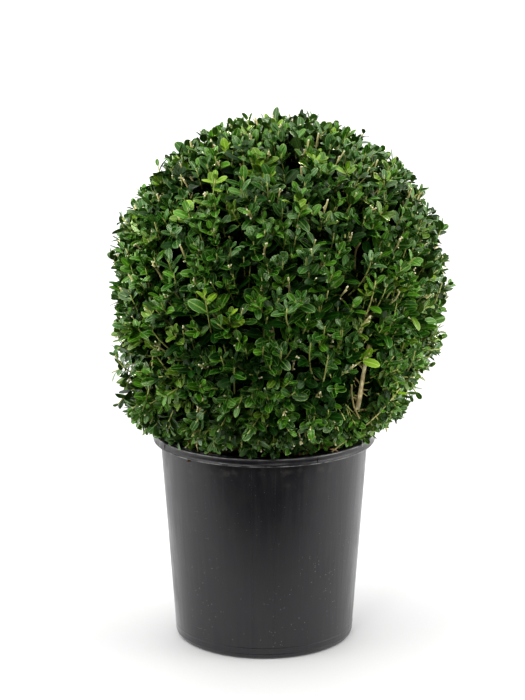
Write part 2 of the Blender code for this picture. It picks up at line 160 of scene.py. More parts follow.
def new_material(name):
    """An empty material: itself, its graph, and the inputs of its Principled shader."""
    material = bpy.data.materials.new(name)
    material.use_nodes = True
    return material, Graph(material.node_tree), material.node_tree.nodes["Principled BSDF"].inputs


# %% [markdown]
# ## Leaf finish
# A box leaf is leathery and glossy, with a paler midrib, faint veins and a thin pale margin. Every
# leaf gets one of 64 tiles of a shared map: the tile's number gives the leaf's own tone, and the
# place in the tile gives rib, veins and margin.

# %% The pattern of a leaf in its tile
TILES = 8  # tiles along each side of the shared map
TILE_MARGIN = 0.06
RIB_WIDTHS = (0.085, 0.035)  # at the stalk and at the tip, as shares of the tile
HALF_WIDTH, HALF_LENGTH = 0.44, 0.46  # of the leaf inside its margin, as shares of the tile
VEIN_SLANT, VEIN_WAVES = 0.8, 75.0
BLOTCH_SCALE = (31.0, 19.0, 1)


def leaf_pattern():
    g, given, result = new_group("leaf pattern", {"Map": None}, ("Tone", "Rib", "Margin", "Blotch", "Relief"))
    scaled = g.vector("MULTIPLY", given["Map"], (TILES, TILES, 1))
    axes = g.axes(g.vector("FRACTION", scaled))
    across, along = (g.calc("ABSOLUTE", g.calc("SUBTRACT", axes[axis], 0.5)) for axis in "XY")
    rib_width = g.fade(axes["Y"], 0.1, 0.95, *RIB_WIDTHS)
    rib = g.fade(g.calc("DIVIDE", across, rib_width), 0.4, 1.0, 1.0, 0.0)
    squares = [g.calc("POWER", g.calc("DIVIDE", far, half), 2.0)
               for far, half in ((across, HALF_WIDTH), (along, HALF_LENGTH))]
    slant = g.calc("SUBTRACT", axes["Y"], g.times(across, VEIN_SLANT))
    veins = g.times(g.calc("SINE", g.times(slant, VEIN_WAVES)), 0.15)
    sample = g.vector("MULTIPLY", given["Map"], BLOTCH_SCALE)
    g.give(result, {
        "Tone": g.put("TexWhiteNoise", {"Vector": g.vector("FLOOR", scaled)}, noise_dimensions="2D")["Value"],
        "Rib": rib,
        "Margin": g.fade(g.calc("SQRT", g.calc("ADD", *squares)), 0.8, 0.97),
        "Blotch": g.put("TexNoise", {"Vector": sample, "Scale": 1.0, "Detail": 3.0})["Fac"],
        "Relief": g.calc("ADD", g.times(rib, -0.6), g.times(g.calc("SUBTRACT", 1.0, rib), veins)),
    })
    return g.tree


LEAF_PATTERN = leaf_pattern()
print("leaf pattern:", len(LEAF_PATTERN.nodes), "nodes for", TILES * TILES, "leaf tiles")

# %% [markdown]
# ## Shades of green
# Leaves deep inside are nearly black-green, old ones dark, most of the surface a deep fresh green,
# and the newest shoots yellow-green. The nearly black and the dark shades are partly the colour of
# old leaves and partly painted shade: they go to leaves deep in the ball and far back on shoots.
# Each shade is a material with two base colours, and each leaf's own tone lies between them. The
# back of a leaf is paler.

# %% Leaf materials
LEAF_SHADES = {  # name: darker colour, lighter colour, rib and margin colour, roughness, IOR
    # shadow_green and the old shade are painted shade as well as leaf colour: nearly black and dark for
    # leaves in the ball's shade.
    "shadow_green": (rgb(0.0006, 0.0055, 0.0004), rgb(0.002, 0.013, 0.001), rgb(0.006, 0.022, 0.002),
                     0.6, 1.12),
    "old_and_shaded_green": (rgb(0.0012, 0.015, 0.0008), rgb(0.006, 0.04, 0.003), rgb(0.04, 0.095, 0.014), 0.3, 1.35),
    "deep_green": (rgb(0.004, 0.028, 0.0016), rgb(0.023, 0.104, 0.006), rgb(0.19, 0.33, 0.075), 0.23, 1.54),
    "sage_green": (rgb(0.012, 0.052, 0.008), rgb(0.042, 0.128, 0.026), rgb(0.23, 0.35, 0.12), 0.25, 1.54),
    "grass_green": (rgb(0.02, 0.086, 0.003), rgb(0.068, 0.215, 0.009), rgb(0.29, 0.43, 0.1), 0.24, 1.52),
    "olive_green": (rgb(0.036, 0.088, 0.005), rgb(0.105, 0.205, 0.015), rgb(0.33, 0.43, 0.1), 0.28, 1.5),
    "new_green": (rgb(0.085, 0.2, 0.006), rgb(0.215, 0.37, 0.018), rgb(0.43, 0.52, 0.12), 0.26, 1.5),
}
LEAF_BACK, BACK_SHARE = rgb(0.09, 0.16, 0.04), 0.55
LEAF_SHEEN = rgb(0.86, 1.0, 0.7)
MARGIN_SHARE, RIB_SHARE = 0.6, 0.65


def drawn_on_tile(g):
    own_map = g.put("UVMap", {}, uv_map="OFBake")["UV"]
    return g.put("Group", {"Map": own_map}, node_tree=LEAF_PATTERN)


def leaf_material(name, dark, light, trim, roughness, gloss):
    material, g, shader = new_material("box_leaf_" + name)
    drawn = drawn_on_tile(g)
    blade = g.blend(drawn["Tone"], dark, light)
    blade = g.blend(g.fade(drawn["Blotch"], 0.35, 0.75, 0.0, 0.35), blade, light)
    blade = g.blend(g.times(drawn["Margin"], MARGIN_SHARE), blade, trim)
    blade = g.blend(g.times(drawn["Rib"], RIB_SHARE), blade, trim)
    behind = g.put("NewGeometry", {})["Backfacing"]
    g.give(shader, {
        "Base Color": g.blend(behind, blade, g.blend(BACK_SHARE, blade, LEAF_BACK)),
        "Roughness": g.fade(drawn["Blotch"], 0.3, 0.8, roughness - 0.06, roughness + 0.14),
        "IOR": gloss,
        "Specular Tint": LEAF_SHEEN,
        "Normal": g.bump(drawn["Relief"], 0.0004, 0.35),
    })
    return material


LEAF_MATERIALS = {name: leaf_material(name, *look) for name, look in LEAF_SHADES.items()}
print("leaf shades:", ", ".join(LEAF_MATERIALS))

# %% [markdown]
# ## Mottling and specks
# No surface is one even colour. One group spreads soft patches of noise at a given scale, and the
# other scatters small round dots.

# %% Groups for mottling and specks
def mottle_group():
    inputs = {"Vector": None, "Scale": 10.0, "Detail": 4.0, "From": 0.35, "To": 0.65}
    g, given, result = new_group("mottle", inputs, ["Mask"])
    spread = g.put("TexNoise", {name: given[name] for name in ("Vector", "Scale", "Detail")})["Fac"]
    g.give(result, {"Mask": g.fade(spread, given["From"], given["To"])})
    return g.tree


def speck_group():
    inputs = {"Vector": None, "Scale": 300.0, "Size": 0.2, "Share": 0.1}
    g, given, result = new_group("specks", inputs, ["Mask"])
    dots = g.put("TexVoronoi", {"Vector": given["Vector"], "Scale": given["Scale"]})
    near = g.calc("LESS_THAN", dots["Distance"], given["Size"])
    pick = g.put("SeparateColor", {0: dots["Color"]})["Red"]
    g.give(result, {"Mask": g.times(near, g.calc("LESS_THAN", pick, given["Share"]))})
    return g.tree


MOTTLE = mottle_group()
SPECKS = speck_group()


def patches(g, vector, scale, low=0.35, high=0.65, detail=4.0):
    sockets = {"Vector": vector, "Scale": scale, "Detail": detail, "From": low, "To": high}
    return g.put("Group", sockets, node_tree=MOTTLE)["Mask"]


def specks(g, vector, scale, size, share):
    sockets = {"Vector": vector, "Scale": scale, "Size": size, "Share": share}
    return g.put("Group", sockets, node_tree=SPECKS)["Mask"]


print("groups:", MOTTLE.name, SPECKS.name)

# %% [markdown]
# ## Black nursery plastic
# Thin recycled polypropylene: charcoal rather than black, satin, with cloudy patches, faint upright
# drag marks from the mould, a little dried soil under the rim and pale specks of dust, strongest
# low down. Roughness varies with them, which breaks up the broad soft reflections.

# %% Plastic
PAINTED_HIGHLIGHT_EDGES = ((0.2374, 0.239), (0.2452, 0.2466))  # heights of the rim's two edges, where a pale band paints their highlight
PAINTED_HIGHLIGHT_FADE = 0.0003


def plastic_material():
    material, g, shader = new_material("nursery_plastic")
    place = g.place()
    clouds = patches(g, place, 14.0, 0.35, 0.7)
    drag = patches(g, g.place((1, 1, 0.06)), 160.0, 0.4, 0.68, 3.0)
    colour = g.blend(clouds, rgb(0.0062, 0.0058, 0.0086), rgb(0.0107, 0.0099, 0.0122))
    colour = g.blend(patches(g, place, 32.0, 0.5, 0.72), colour, rgb(0.0125, 0.0105, 0.0112))
    colour = g.blend(g.times(drag, 0.3), colour, rgb(0.018, 0.0176, 0.018))
    height = g.axes(place)["Z"]
    under_rim = g.fade(height, 0.19, 0.245)
    dried = g.times(under_rim, patches(g, place, 60.0, 0.52, 0.74, 6.0))
    colour = g.blend(g.times(dried, 0.4), colour, rgb(0.085, 0.074, 0.055))
    dusty = g.calc("MAXIMUM", patches(g, place, 22.0, 0.5, 0.6), g.times(under_rim, 0.8))
    dust = g.times(specks(g, place, 480.0, 0.17, 0.085), dusty)
    dots = g.calc("MAXIMUM", specks(g, place, 300.0, 0.11, 0.05), dust)
    strong_low = g.fade(height, 0.17, 0.09, 0.3, 0.75)
    colour = g.blend(g.times(dots, strong_low), colour, rgb(0.36, 0.35, 0.3))
    # Pale patchy bands along the rim's two edges: a painted highlight where the edges catch the light.
    for low, high in PAINTED_HIGHLIGHT_EDGES:
        edge = g.times(g.fade(height, low, low + PAINTED_HIGHLIGHT_FADE), g.fade(height, high, high - PAINTED_HIGHLIGHT_FADE))
        painted_highlight = g.times(edge, patches(g, place, 55.0, 0.38, 0.6, 4.0))
        colour = g.blend(g.times(painted_highlight, 0.8), colour, rgb(0.23, 0.225, 0.215))
    rough = g.fade(g.calc("ADD", clouds, g.times(drag, 0.6)), 0.0, 1.6, 0.28, 0.42)
    grain = patches(g, place, 900.0, 0.2, 0.8, 2.0)
    g.give(shader, {
        "Base Color": colour,
        "Roughness": g.calc("ADD", rough, g.times(dried, 0.25)),
        "Normal": g.bump(g.calc("ADD", grain, g.times(drag, 1.5)), 0.00003),
    })
    return material


PLASTIC = plastic_material()
print("plastic:", len(PLASTIC.node_tree.nodes), "nodes")

# %% [markdown]
# ## Bark, young stems and cut wood
# Old box wood has thin tan-grey bark with fine upright furrows. Its base colours here are much paler,
# a pale straw, as painted light: the outer bough sits in the foliage's shade. The ends of the shoots
# are green, turning yellow-tan as they ripen, and a cut by the shears shows as a pale cream disc.

# %% Bark and stem materials
def bark_material():
    material, g, shader = new_material("box_bark")
    place = g.place()
    furrow = patches(g, g.place((1, 1, 0.22)), 420.0, 0.38, 0.62, 5.0)
    patch = patches(g, place, 75.0, 0.4, 0.65)
    moss = patches(g, place, 38.0, 0.55, 0.75)
    # Pale straw base colours: tan bark made lighter, as painted light for the shaded outer bough.
    colour = g.blend(patch, rgb(0.7, 0.58, 0.3), rgb(0.92, 0.85, 0.56))
    colour = g.blend(g.times(furrow, 0.55), colour, rgb(0.24, 0.175, 0.095))
    g.give(shader, {
        "Base Color": g.blend(g.times(moss, 0.3), colour, rgb(0.24, 0.26, 0.11)),
        "Roughness": g.fade(patch, 0.0, 1.0, 0.7, 0.88),
        "Normal": g.bump(furrow, 0.0003, 0.8),
    })
    return material


def twig_material(name, dark, light, roughness):
    """For thousands of small stems: the tone of each comes from its tile of the shared map."""
    material, g, shader = new_material(name)
    drawn = drawn_on_tile(g)
    share = g.times(g.calc("ADD", drawn["Tone"], drawn["Blotch"]), 0.6)
    g.give(shader, {
        "Base Color": g.blend(share, dark, light),
        "Roughness": g.fade(drawn["Blotch"], 0.3, 0.8, roughness, roughness + 0.15),
    })
    return material


BARK = bark_material()
WOODY_TWIG = twig_material("woody_twig", rgb(0.15, 0.122, 0.042), rgb(0.46, 0.4, 0.16), 0.6)
PRUNED_TWIG = twig_material("pruned_twig", rgb(0.29, 0.25, 0.085), rgb(0.68, 0.62, 0.29), 0.65)
GREEN_STEM = twig_material("green_stem", rgb(0.19, 0.24, 0.045), rgb(0.48, 0.48, 0.16), 0.5)
CUT_WOOD = twig_material("cut_wood", rgb(0.56, 0.52, 0.3), rgb(0.8, 0.78, 0.54), 0.7)
DRY_LEAF = twig_material("dry_leaf", rgb(0.11, 0.058, 0.024), rgb(0.36, 0.23, 0.11), 0.65)
print("materials so far:", len(bpy.data.materials))

# %% [markdown]
# ## Potting soil
# Peat-based compost: nearly black when moist, with brown fibres and crumbs.

# %% Soil
def soil_material(name, dark, light):
    material, g, shader = new_material(name)
    place = g.place()
    crumbs = patches(g, place, 320.0, 0.35, 0.65, 6.0)
    damp = patches(g, place, 30.0)
    g.give(shader, {
        "Base Color": g.blend(g.times(damp, 0.4), g.blend(crumbs, dark, light), dark),
        "Roughness": g.fade(damp, 0.0, 1.0, 0.95, 0.72),
        "Normal": g.bump(crumbs, 0.0012),
    })
    return material


SOIL = soil_material("potting_compost", rgb(0.016, 0.011, 0.008), rgb(0.075, 0.047, 0.028))
CHIPS = soil_material("bark_chips", rgb(0.05, 0.028, 0.015), rgb(0.19, 0.115, 0.06))
print("soil:", SOIL.name, CHIPS.name)

# %% [markdown]
# ## Pieces
# Every piece rides on the plant's one body and takes its finish from one material. A piece that
# stands for a imported solid also says which.

# %% Helpers for pieces
def triangles(mesh):
    return sum(len(face.vertices) - 2 for face in mesh.polygons)


def set_piece(name, mesh, material, nodes=()):
    piece = add_object(name, mesh)
    mesh.materials.append(material)
    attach(piece, "root")
    if nodes:
        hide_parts(*nodes)
    print(f"{name}: {triangles(mesh)} triangles")
    return piece


def to_mesh(bm, name, smooth_under=40):
    """Close doubled points, face everything outwards, and shade round except at sharp edges."""
    bmesh.ops.remove_doubles(bm, verts=bm.verts, dist=1e-6)
    bmesh.ops.recalc_face_normals(bm, faces=bm.faces)
    mesh = bpy.data.meshes.new(name)
    bm.to_mesh(mesh)
    bm.free()
    mesh.shade_smooth()
    mesh.set_sharp_from_angle(angle=radians(smooth_under))
    return mesh


def heading(turn):
    return Vector((cos(turn), sin(turn), 0))


# %% [markdown]
# ## The pot
# A nursery pot is moulded in one piece, and all of it is round: one outline spun about its axis
# makes the tapered wall, the turned-out rim and the flat base. The outline runs from the middle of
# the underside, up the outside, over the rim and down the inside.

# %% The pot's outline
POT_BASE_RADIUS, POT_TOP_RADIUS = 0.1048, 0.1217
POT_HEIGHT, POT_WALL = 0.247, 0.002
RIM_RADIUS, RIM_BOTTOM = 0.1302, 0.2375
FOOT_ROUND, FOOT_STEPS = 0.004, 6  # the rounding between base and wall
MOULD_RINGS = (0.0056, 0.0131)  # heights of two rings near the base that the mould left
RING_PROFILE = ((-0.0014, 0), (-0.0006, 0), (-0.0002, 0.00025), (0.0002, 0.00025), (0.0006, 0), (0.0014, 0))
SPIN_STEPS = 144


def wall_radius(height):
    share = height / (POT_HEIGHT - 0.0095)
    return POT_BASE_RADIUS + share * (POT_TOP_RADIUS - POT_BASE_RADIUS)


def pot_outline():
    points = [(0, 0.0012), (0.09, 0.0012), (0.0912, 0.0), (0.0995, 0.0)]
    for step in range(FOOT_STEPS + 1):
        angle = pi / 2 * step / FOOT_STEPS
        radius = wall_radius(0) - FOOT_ROUND + FOOT_ROUND * sin(angle)
        points.append((radius, FOOT_ROUND - FOOT_ROUND * cos(angle)))
    for ring in MOULD_RINGS:
        points += [(wall_radius(ring + rise) + proud, ring + rise) for rise, proud in RING_PROFILE]
    points += [(wall_radius(height), height) for height in (0.06, 0.1, 0.14, 0.18, 0.22)]
    points += [
        (POT_TOP_RADIUS, RIM_BOTTOM), (POT_TOP_RADIUS, 0.245), (0.128, 0.2448), (0.1284, 0.238),
        (0.1287, RIM_BOTTOM), (0.1299, RIM_BOTTOM), (RIM_RADIUS, 0.2379), (RIM_RADIUS, 0.2388),
        (0.1297, 0.2392), (0.1291, 0.2448), (0.1295, 0.2454), (0.1294, 0.2462), (0.1288, POT_HEIGHT),
        (0.1272, 0.2469), (0.1206, POT_HEIGHT), (0.1199, 0.2463),
    ]
    points += [(wall_radius(height) - POT_WALL, height) for height in (0.236, 0.2, 0.12, 0.04, 0.005)]
    return points + [(wall_radius(0) - POT_WALL - 0.002, 0.003), (0, 0.003)]


print("pot outline:", len(pot_outline()), "points")

# %% Spin the pot and drill its drain holes
DRAIN_HOLES, DRAIN_RADIUS, DRAIN_CIRCLE = 8, 0.006, 0.08


def spin_round(outline, steps):
    bm = bmesh.new()
    points = [bm.verts.new((radius, 0, height)) for radius, height in outline]
    edges = [bm.edges.new(pair) for pair in zip(points, points[1:])]
    bmesh.ops.spin(bm, geom=points + edges, cent=ORIGIN, axis=UP, dvec=ORIGIN, angle=tau,
                   steps=steps, use_merge=True)
    return bm


def cut_away(piece, cutter):
    """Take a cutter's shape out of a piece for good."""
    step = piece.modifiers.new("cut", "BOOLEAN")
    step.operation = "DIFFERENCE"
    step.solver = "EXACT"
    step.object = cutter
    bpy.context.view_layer.update()
    shape = bpy.data.meshes.new_from_object(piece.evaluated_get(bpy.context.evaluated_depsgraph_get()))
    piece.modifiers.clear()
    piece.data = shape
    bpy.data.objects.remove(cutter)


def drill_bits():
    bm = bmesh.new()
    for hole in range(DRAIN_HOLES):
        place = Matrix.Translation(heading(tau * hole / DRAIN_HOLES) * DRAIN_CIRCLE)
        bmesh.ops.create_cone(bm, cap_ends=True, segments=24, radius1=DRAIN_RADIUS, radius2=DRAIN_RADIUS,
                              depth=0.02, matrix=place)
    return add_object("drill_bits", to_mesh(bm, "drill_bits"))


pot_mesh = to_mesh(spin_round(pot_outline(), SPIN_STEPS), "nursery_pot", 50)
pot = set_piece("nursery_pot", pot_mesh, PLASTIC, ["pot"])
cut_away(pot, drill_bits())
print("drilled pot:", triangles(pot.data), "triangles")

# %% Mould seams
SEAM_TURNS = (-96.9, -84.0, 83.1, 96.0)  # degrees round the pot, in two close pairs
SEAM_ENDS = [Vector((wall_radius(height), 0, height)) for height in (0.024, 0.234)]
SEAM_WIDTH, SEAM_DEPTH = 0.0005, 0.00028
RIM_MARK_TURNS = (-62.3, 27.7, 117.7, 207.7)
RIM_MARK_ENDS = [Vector((0.1297, 0, 0.2388)), Vector((0.1292, 0, 0.2462))]
RIM_MARK_WIDTH, RIM_MARK_DEPTH = 0.0007, 0.0006
RIDGE_BEVEL = 0.00006


def add_ridge(bm, turn, foot, top, width, depth):
    """A long thin bevelled block that leans with the wall, half sunk into it."""
    middle = (foot + top) / 2
    lean = (top - foot).to_track_quat("Z", "X").to_matrix().to_4x4()
    size = Matrix.Diagonal((depth, width, (top - foot).length, 1))
    facing = Matrix.Rotation(turn, 4, "Z")
    block = bmesh.ops.create_cube(bm, size=1, matrix=facing @ Matrix.Translation(middle) @ lean @ size)
    edges = {edge for vert in block["verts"] for edge in vert.link_edges}
    bmesh.ops.bevel(bm, geom=list(edges), offset=RIDGE_BEVEL, affect="EDGES", segments=1, profile=0.5,
                    material=-1)


seams = bmesh.new()
for degrees in SEAM_TURNS:
    add_ridge(seams, radians(degrees), *SEAM_ENDS, SEAM_WIDTH, SEAM_DEPTH)
for degrees in RIM_MARK_TURNS:
    add_ridge(seams, radians(degrees), *RIM_MARK_ENDS, RIM_MARK_WIDTH, RIM_MARK_DEPTH)
set_piece("mould_seams", to_mesh(seams, "mould_seams"), PLASTIC)

# %% [markdown]
# ## The soil
# The soil fills the pot to a finger's width under the rim. It is one spun body, like the pot, and
# its top is then made uneven by moving its points up and down by noise.

# %% Soil body
SOIL_EDGE, SOIL_TOP = 0.224, 0.228
SOIL_CLEARANCE = 0.0003
SOIL_RINGS, SOIL_STEPS = 20, 72
SOIL_LUMPS = ((0.0022, 60), (0.0012, 190))  # how high, and how close together


def soil_radius(height):
    return wall_radius(height) - POT_WALL - SOIL_CLEARANCE


def soil_height(share):
    """The soil is heaped a little towards its middle, where the share of its radius is 0."""
    return SOIL_TOP - (SOIL_TOP - SOIL_EDGE) * share * share


def soil_body():
    outline = [(0, 0.0034), (soil_radius(0.004) - 0.002, 0.0034), (soil_radius(0.008), 0.008)]
    outline.append((soil_radius(SOIL_EDGE - 0.01), SOIL_EDGE - 0.01))
    for ring in range(SOIL_RINGS + 1):
        share = 1 - ring / SOIL_RINGS
        outline.append((soil_radius(SOIL_EDGE) * share, soil_height(share)))
    bm = spin_round(outline, SOIL_STEPS)
    for vert in bm.verts:
        if vert.co.z > SOIL_EDGE - 0.001:
            vert.co.z += sum(rise * noise.noise(vert.co * fineness) for rise, fineness in SOIL_LUMPS)
    return to_mesh(bm, "soil_body")


set_piece("soil_body", soil_body(), SOIL, ["potting_soil"])

# %% [markdown]
# ## The ball's shape
# The ball is round above its middle, fuller than round below it, and leans a little to the left at
# the bottom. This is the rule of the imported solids, with the small unevenness that shears leave. A
# point has a distance from the ball's middle, an angle from straight up (polar) and a direction
# round the plant (turn).

# %% The clipped outline
BALL_CENTRE = Vector((0.015, 0, 0.42))
BALL_RADIUS, BALL_DEPTH, BALL_POWER = 0.2, 0.205, 3.0
SWAY, SWAY_TOP, SWAY_DROP = 0.1, 0.36, 0.1
RIM_CLEARANCE = 0.0015
FULLER_ANGLES = angles(0, 30, 58, 82, 95, 112, 124, 139)
FULLER_RIGHT = (0, -0.001, 0.002, 0, -0.004, -0.005, 0.004, 0)
FULLER_LEFT = (0, -0.004, -0.006, -0.007, -0.01, -0.009, -0.01, -0.012)


def ball_reach(polar):
    if cos(polar) >= 0:
        return BALL_RADIUS
    sideways, down = sin(polar) / BALL_RADIUS, -cos(polar) / BALL_DEPTH
    return (sideways ** BALL_POWER + down ** BALL_POWER) ** (-1 / BALL_POWER)


def sway(height, turn):
    share = min(max((SWAY_TOP - height) / SWAY_DROP, 0), 1)
    return 1 - SWAY * share * cos(turn)


def uneven(polar, turn):
    """How much fuller or flatter than the rule the shears left the ball."""
    side = FULLER_RIGHT if cos(turn) > 0 else FULLER_LEFT
    return float(np.interp(polar, FULLER_ANGLES, side)) * abs(cos(turn))


def ball_point(inset, polar, turn):
    """The point this far inside the clipped outline, in a direction from the ball's middle."""
    far = ball_reach(polar) - inset + uneven(polar, turn)
    height = BALL_CENTRE.z + far * cos(polar)
    level = far * sin(polar) * sway(height, turn)
    return Vector((BALL_CENTRE.x, BALL_CENTRE.y, height)) + heading(turn) * level


def on_unit_ball(polar, turn):
    return heading(turn) * sin(polar) + UP * cos(polar)


def depth_inside(point):
    """How far inside the clipped outline a point lies, along its own ray."""
    ray = point - BALL_CENTRE
    turn = atan2(ray.y, ray.x)
    factor = sway(point.z, turn)
    straight = Vector((ray.x / factor, ray.y / factor, ray.z))
    polar = straight.angle(UP)
    return ball_reach(polar) + uneven(polar, turn) - straight.length


def over_pot(point):
    near = hypot(point.x, point.y) < RIM_RADIUS + RIM_CLEARANCE
    return near and point.z < POT_HEIGHT + RIM_CLEARANCE


print("widest reach:", BALL_RADIUS, "reach at 139 degrees:", round(ball_reach(radians(139)), 4))

# %% [markdown]
# ## Stem and boughs
# The short stem forks low into a leader and six boughs, along smooth curves between four points, as
# in the solids. The front right bough swings out past the rim and climbs the outside of the ball.

# %% Routes of the limbs
STEM_FOOT, STEM_TIP = Vector((0.004, 0, 0.2283)), Vector((0.013, 0, 0.3))
LEADER_TIP = Vector((BALL_CENTRE.x, BALL_CENTRE.y, 0.488))
SIDES = ("front_right", "right", "back_right", "back_left", "left", "front_left")
FIRST_TURN = radians(-50)
SIDE_ANGLE = tau / len(SIDES)
TOP_ANGLE = radians(40)
BOUGH_REACH = 0.066
FORK_HEIGHTS, BOUGH_TIP_HEIGHTS = (0.262, 0.284), (0.372, 0.404)  # these alternate from bough to bough
OUTER_BOUGH = (Vector((0.006, 0, 0.243)), Vector((0.12, -0.09, 0.222)),
               Vector((0.1, -0.1, 0.3)), Vector((0.115, -0.128, 0.372)))
LIMB_STEPS = 44


def curve_through(points, steps):
    """Points along the cubic curve of four control points."""
    a, b, c, d = points
    course = []
    for step in range(steps + 1):
        t = step / steps
        u = 1 - t
        course.append(u * u * u * a + 3 * u * u * t * b + 3 * u * t * t * c + t * t * t * d)
    return course


def straight_to(start, end, steps):
    return [start.lerp(end, step / steps) for step in range(steps + 1)]


def bough_route(index):
    if index == 0:
        return curve_through(OUTER_BOUGH, LIMB_STEPS)
    out = heading(FIRST_TURN + index * SIDE_ANGLE)
    share = (FORK_HEIGHTS[index % 2] - STEM_FOOT.z) / (STEM_TIP.z - STEM_FOOT.z)
    start = STEM_FOOT.lerp(STEM_TIP, share)
    tip = Vector((BALL_CENTRE.x, BALL_CENTRE.y, BOUGH_TIP_HEIGHTS[index % 2])) + out * BOUGH_REACH
    rise = tip.z - start.z
    leave = start + out * BOUGH_REACH / 2 + UP * rise / 6
    arrive = tip - out * BOUGH_REACH / 4 - UP * rise / 2
    return curve_through((start, leave, arrive, tip), LIMB_STEPS)


def leader_route():
    third = UP * (LEADER_TIP.z - STEM_TIP.z) / 3
    return curve_through((STEM_TIP, STEM_TIP + third, LEADER_TIP - third, LEADER_TIP), LIMB_STEPS)


ROUTES = {"leader": leader_route()}
ROUTES |= {"bough_" + name: bough_route(index) for index, name in enumerate(SIDES)}
ROUTES["stem"] = straight_to(STEM_FOOT, STEM_TIP, LIMB_STEPS)
print("limbs:", ", ".join(sorted(ROUTES)))

# %% [markdown]
# ## Bark that can be felt
# A ring of points at a limb's foot is extruded from station to station along its route, turned to
# face along it and made a little narrower each time. Then every point moves in or out along its
# normal: ridges run with the wood, and swellings mark old twigs. Real relief keeps the outline
# uneven too, which a bump can't.

# %% Grow the limbs
LIMB_SIDES = 20
LIMB_RADII = {"stem": (0.012, 0.0095), "leader": (0.008, 0.0046), "bough_front_right": (0.0046, 0.0021)}
BOUGH_RADII = (0.0052, 0.0034)
FLARE, FLARE_HEIGHT = 0.007, 0.016  # how much wider the stem is at the soil, and how far up it is wider
FURROW_DEPTH, SWELLING = 0.075, 0.1  # shares of the limb's radius


def stations(route):
    """A place and facing at each point of a route, turning with it but not twisting."""
    places = []
    facing = (route[1] - route[0]).to_track_quat("Z", "Y")
    last = len(route) - 1
    for i, point in enumerate(route):
        along = (route[min(i + 1, last)] - route[max(i - 1, 0)]).normalized()
        facing = (facing @ UP).rotation_difference(along) @ facing
        places.append(Matrix.Translation(point) @ facing.to_matrix().to_4x4())
    return places


def limb_radius(name, share):
    start, end = LIMB_RADII.get(name, BOUGH_RADII)
    radius = start + (end - start) * share
    if name == "stem":
        risen = share * (STEM_TIP.z - STEM_FOOT.z) / FLARE_HEIGHT
        radius += FLARE * max(0, 1 - risen) ** 2
    return radius


def add_ring(bm, edges, step):
    """Extrude a ring of edges by one step, and return the edges of the new ring."""
    grown = bmesh.ops.extrude_edge_only(bm, edges=edges)["geom"]
    ring = {item for item in grown if isinstance(item, bmesh.types.BMVert)}
    bmesh.ops.transform(bm, matrix=step, verts=list(ring))
    return [item for item in grown if isinstance(item, bmesh.types.BMEdge) and ring.issuperset(item.verts)]


def close_end(bm, edges):
    bmesh.ops.contextual_create(bm, geom=edges)
    bmesh.ops.recalc_face_normals(bm, faces=bm.faces)


def grow_limb(name, route):
    places = stations(route)
    radii = [limb_radius(name, i / (len(route) - 1)) for i in range(len(route))]
    bm = bmesh.new()
    bmesh.ops.create_circle(bm, cap_ends=True, segments=LIMB_SIDES, radius=radii[0], matrix=places[0])
    edges = list(bm.edges)
    for i in range(1, len(route)):
        slimmer = Matrix.Scale(radii[i] / radii[i - 1], 4)
        edges = add_ring(bm, edges, places[i] @ slimmer @ places[i - 1].inverted())
    close_end(bm, edges)
    bm.normal_update()
    radius = limb_radius(name, 0.5)
    for vert in bm.verts:
        spot = vert.co / radius
        furrow = abs(noise.noise(Vector((spot.x * 3, spot.y * 3, spot.z * 0.5)))) - 0.25
        swelling = noise.noise(spot * 0.35 + Vector((7, 3, 5)))
        vert.co += vert.normal * radius * (FURROW_DEPTH * furrow * 2 + SWELLING * swelling)
    return to_mesh(bm, name + "_bark", 60)


for limb_name, limb_route in ROUTES.items():
    set_piece(limb_name + "_bark", grow_limb(limb_name, limb_route), BARK, [limb_name])

# %% [markdown]
# ## Where the foliage grows from
# Seven masses share the ball, one on the leader and one on each bough. A limb's tip runs on as a
# short stem to a fork, and from there twigs go out to places spread evenly over the ball by the
# golden angle. These are the twigs of the solids, curved here, and finer shoots stand on them.

# %% Forks and main twigs
MASS_STEM = 0.042
BOUGH_TWIGS, FRINGE_TWIGS = 94, 18
LOWEST = radians(139)  # no twig or shoot goes out lower than this
GOLDEN_TURN = pi * (3 - sqrt(5))
TWIG_INSET, TWIG_POINTS = 0.02, 9
TWIG_WANDER = 0.006
RISING_ABOVE, RISE, FALL = radians(110), 0.35, -0.1  # twigs above this angle end turned up


def even_directions(count):
    """Directions from the ball's middle, evenly spread from straight up down to the lowest."""
    for i in range(count):
        yield acos(1 - (i + 0.5) / count * (1 - cos(LOWEST))), i * GOLDEN_TURN


def mass_at(polar, turn):
    """The mass that a direction belongs to: None is the top one."""
    if polar < TOP_ANGLE:
        return None
    return round((turn - FIRST_TURN) / SIDE_ANGLE) % len(SIDES)


def mass_stem(index):
    """The stem inside a mass, from its bough's tip to its fork."""
    route = ROUTES["leader" if index is None else "bough_" + SIDES[index]]
    along = (route[-1] - route[-2]).normalized()
    out = Vector((route[-1].x - BALL_CENTRE.x, route[-1].y - BALL_CENTRE.y, 0))
    course = along
    if index == 0:
        course = along - out.normalized() / 2
    elif index is not None:
        course = (along + out.normalized()).normalized()
    return [route[-1], route[-1] + along * MASS_STEM / 4, route[-1] + course * MASS_STEM]


MASS_STEMS = {index: mass_stem(index) for index in [None, *range(len(SIDES))]}


def main_twig(polar, turn, dice):
    """A curved branch from its mass's fork out towards a place on the ball."""
    fork = MASS_STEMS[mass_at(polar, turn)][-1]
    tip = ball_point(TWIG_INSET, polar, turn)
    rise = UP * (RISE if polar < RISING_ABOVE else FALL)
    arrive = tip - (on_unit_ball(polar, turn) + rise).normalized() * (tip - fork).length * 0.4
    aside = Vector([dice.uniform(-TWIG_WANDER, TWIG_WANDER) for _ in range(3)])
    return curve_through((fork, fork.lerp(tip, 0.3) + aside, arrive - aside, tip), TWIG_POINTS - 1)


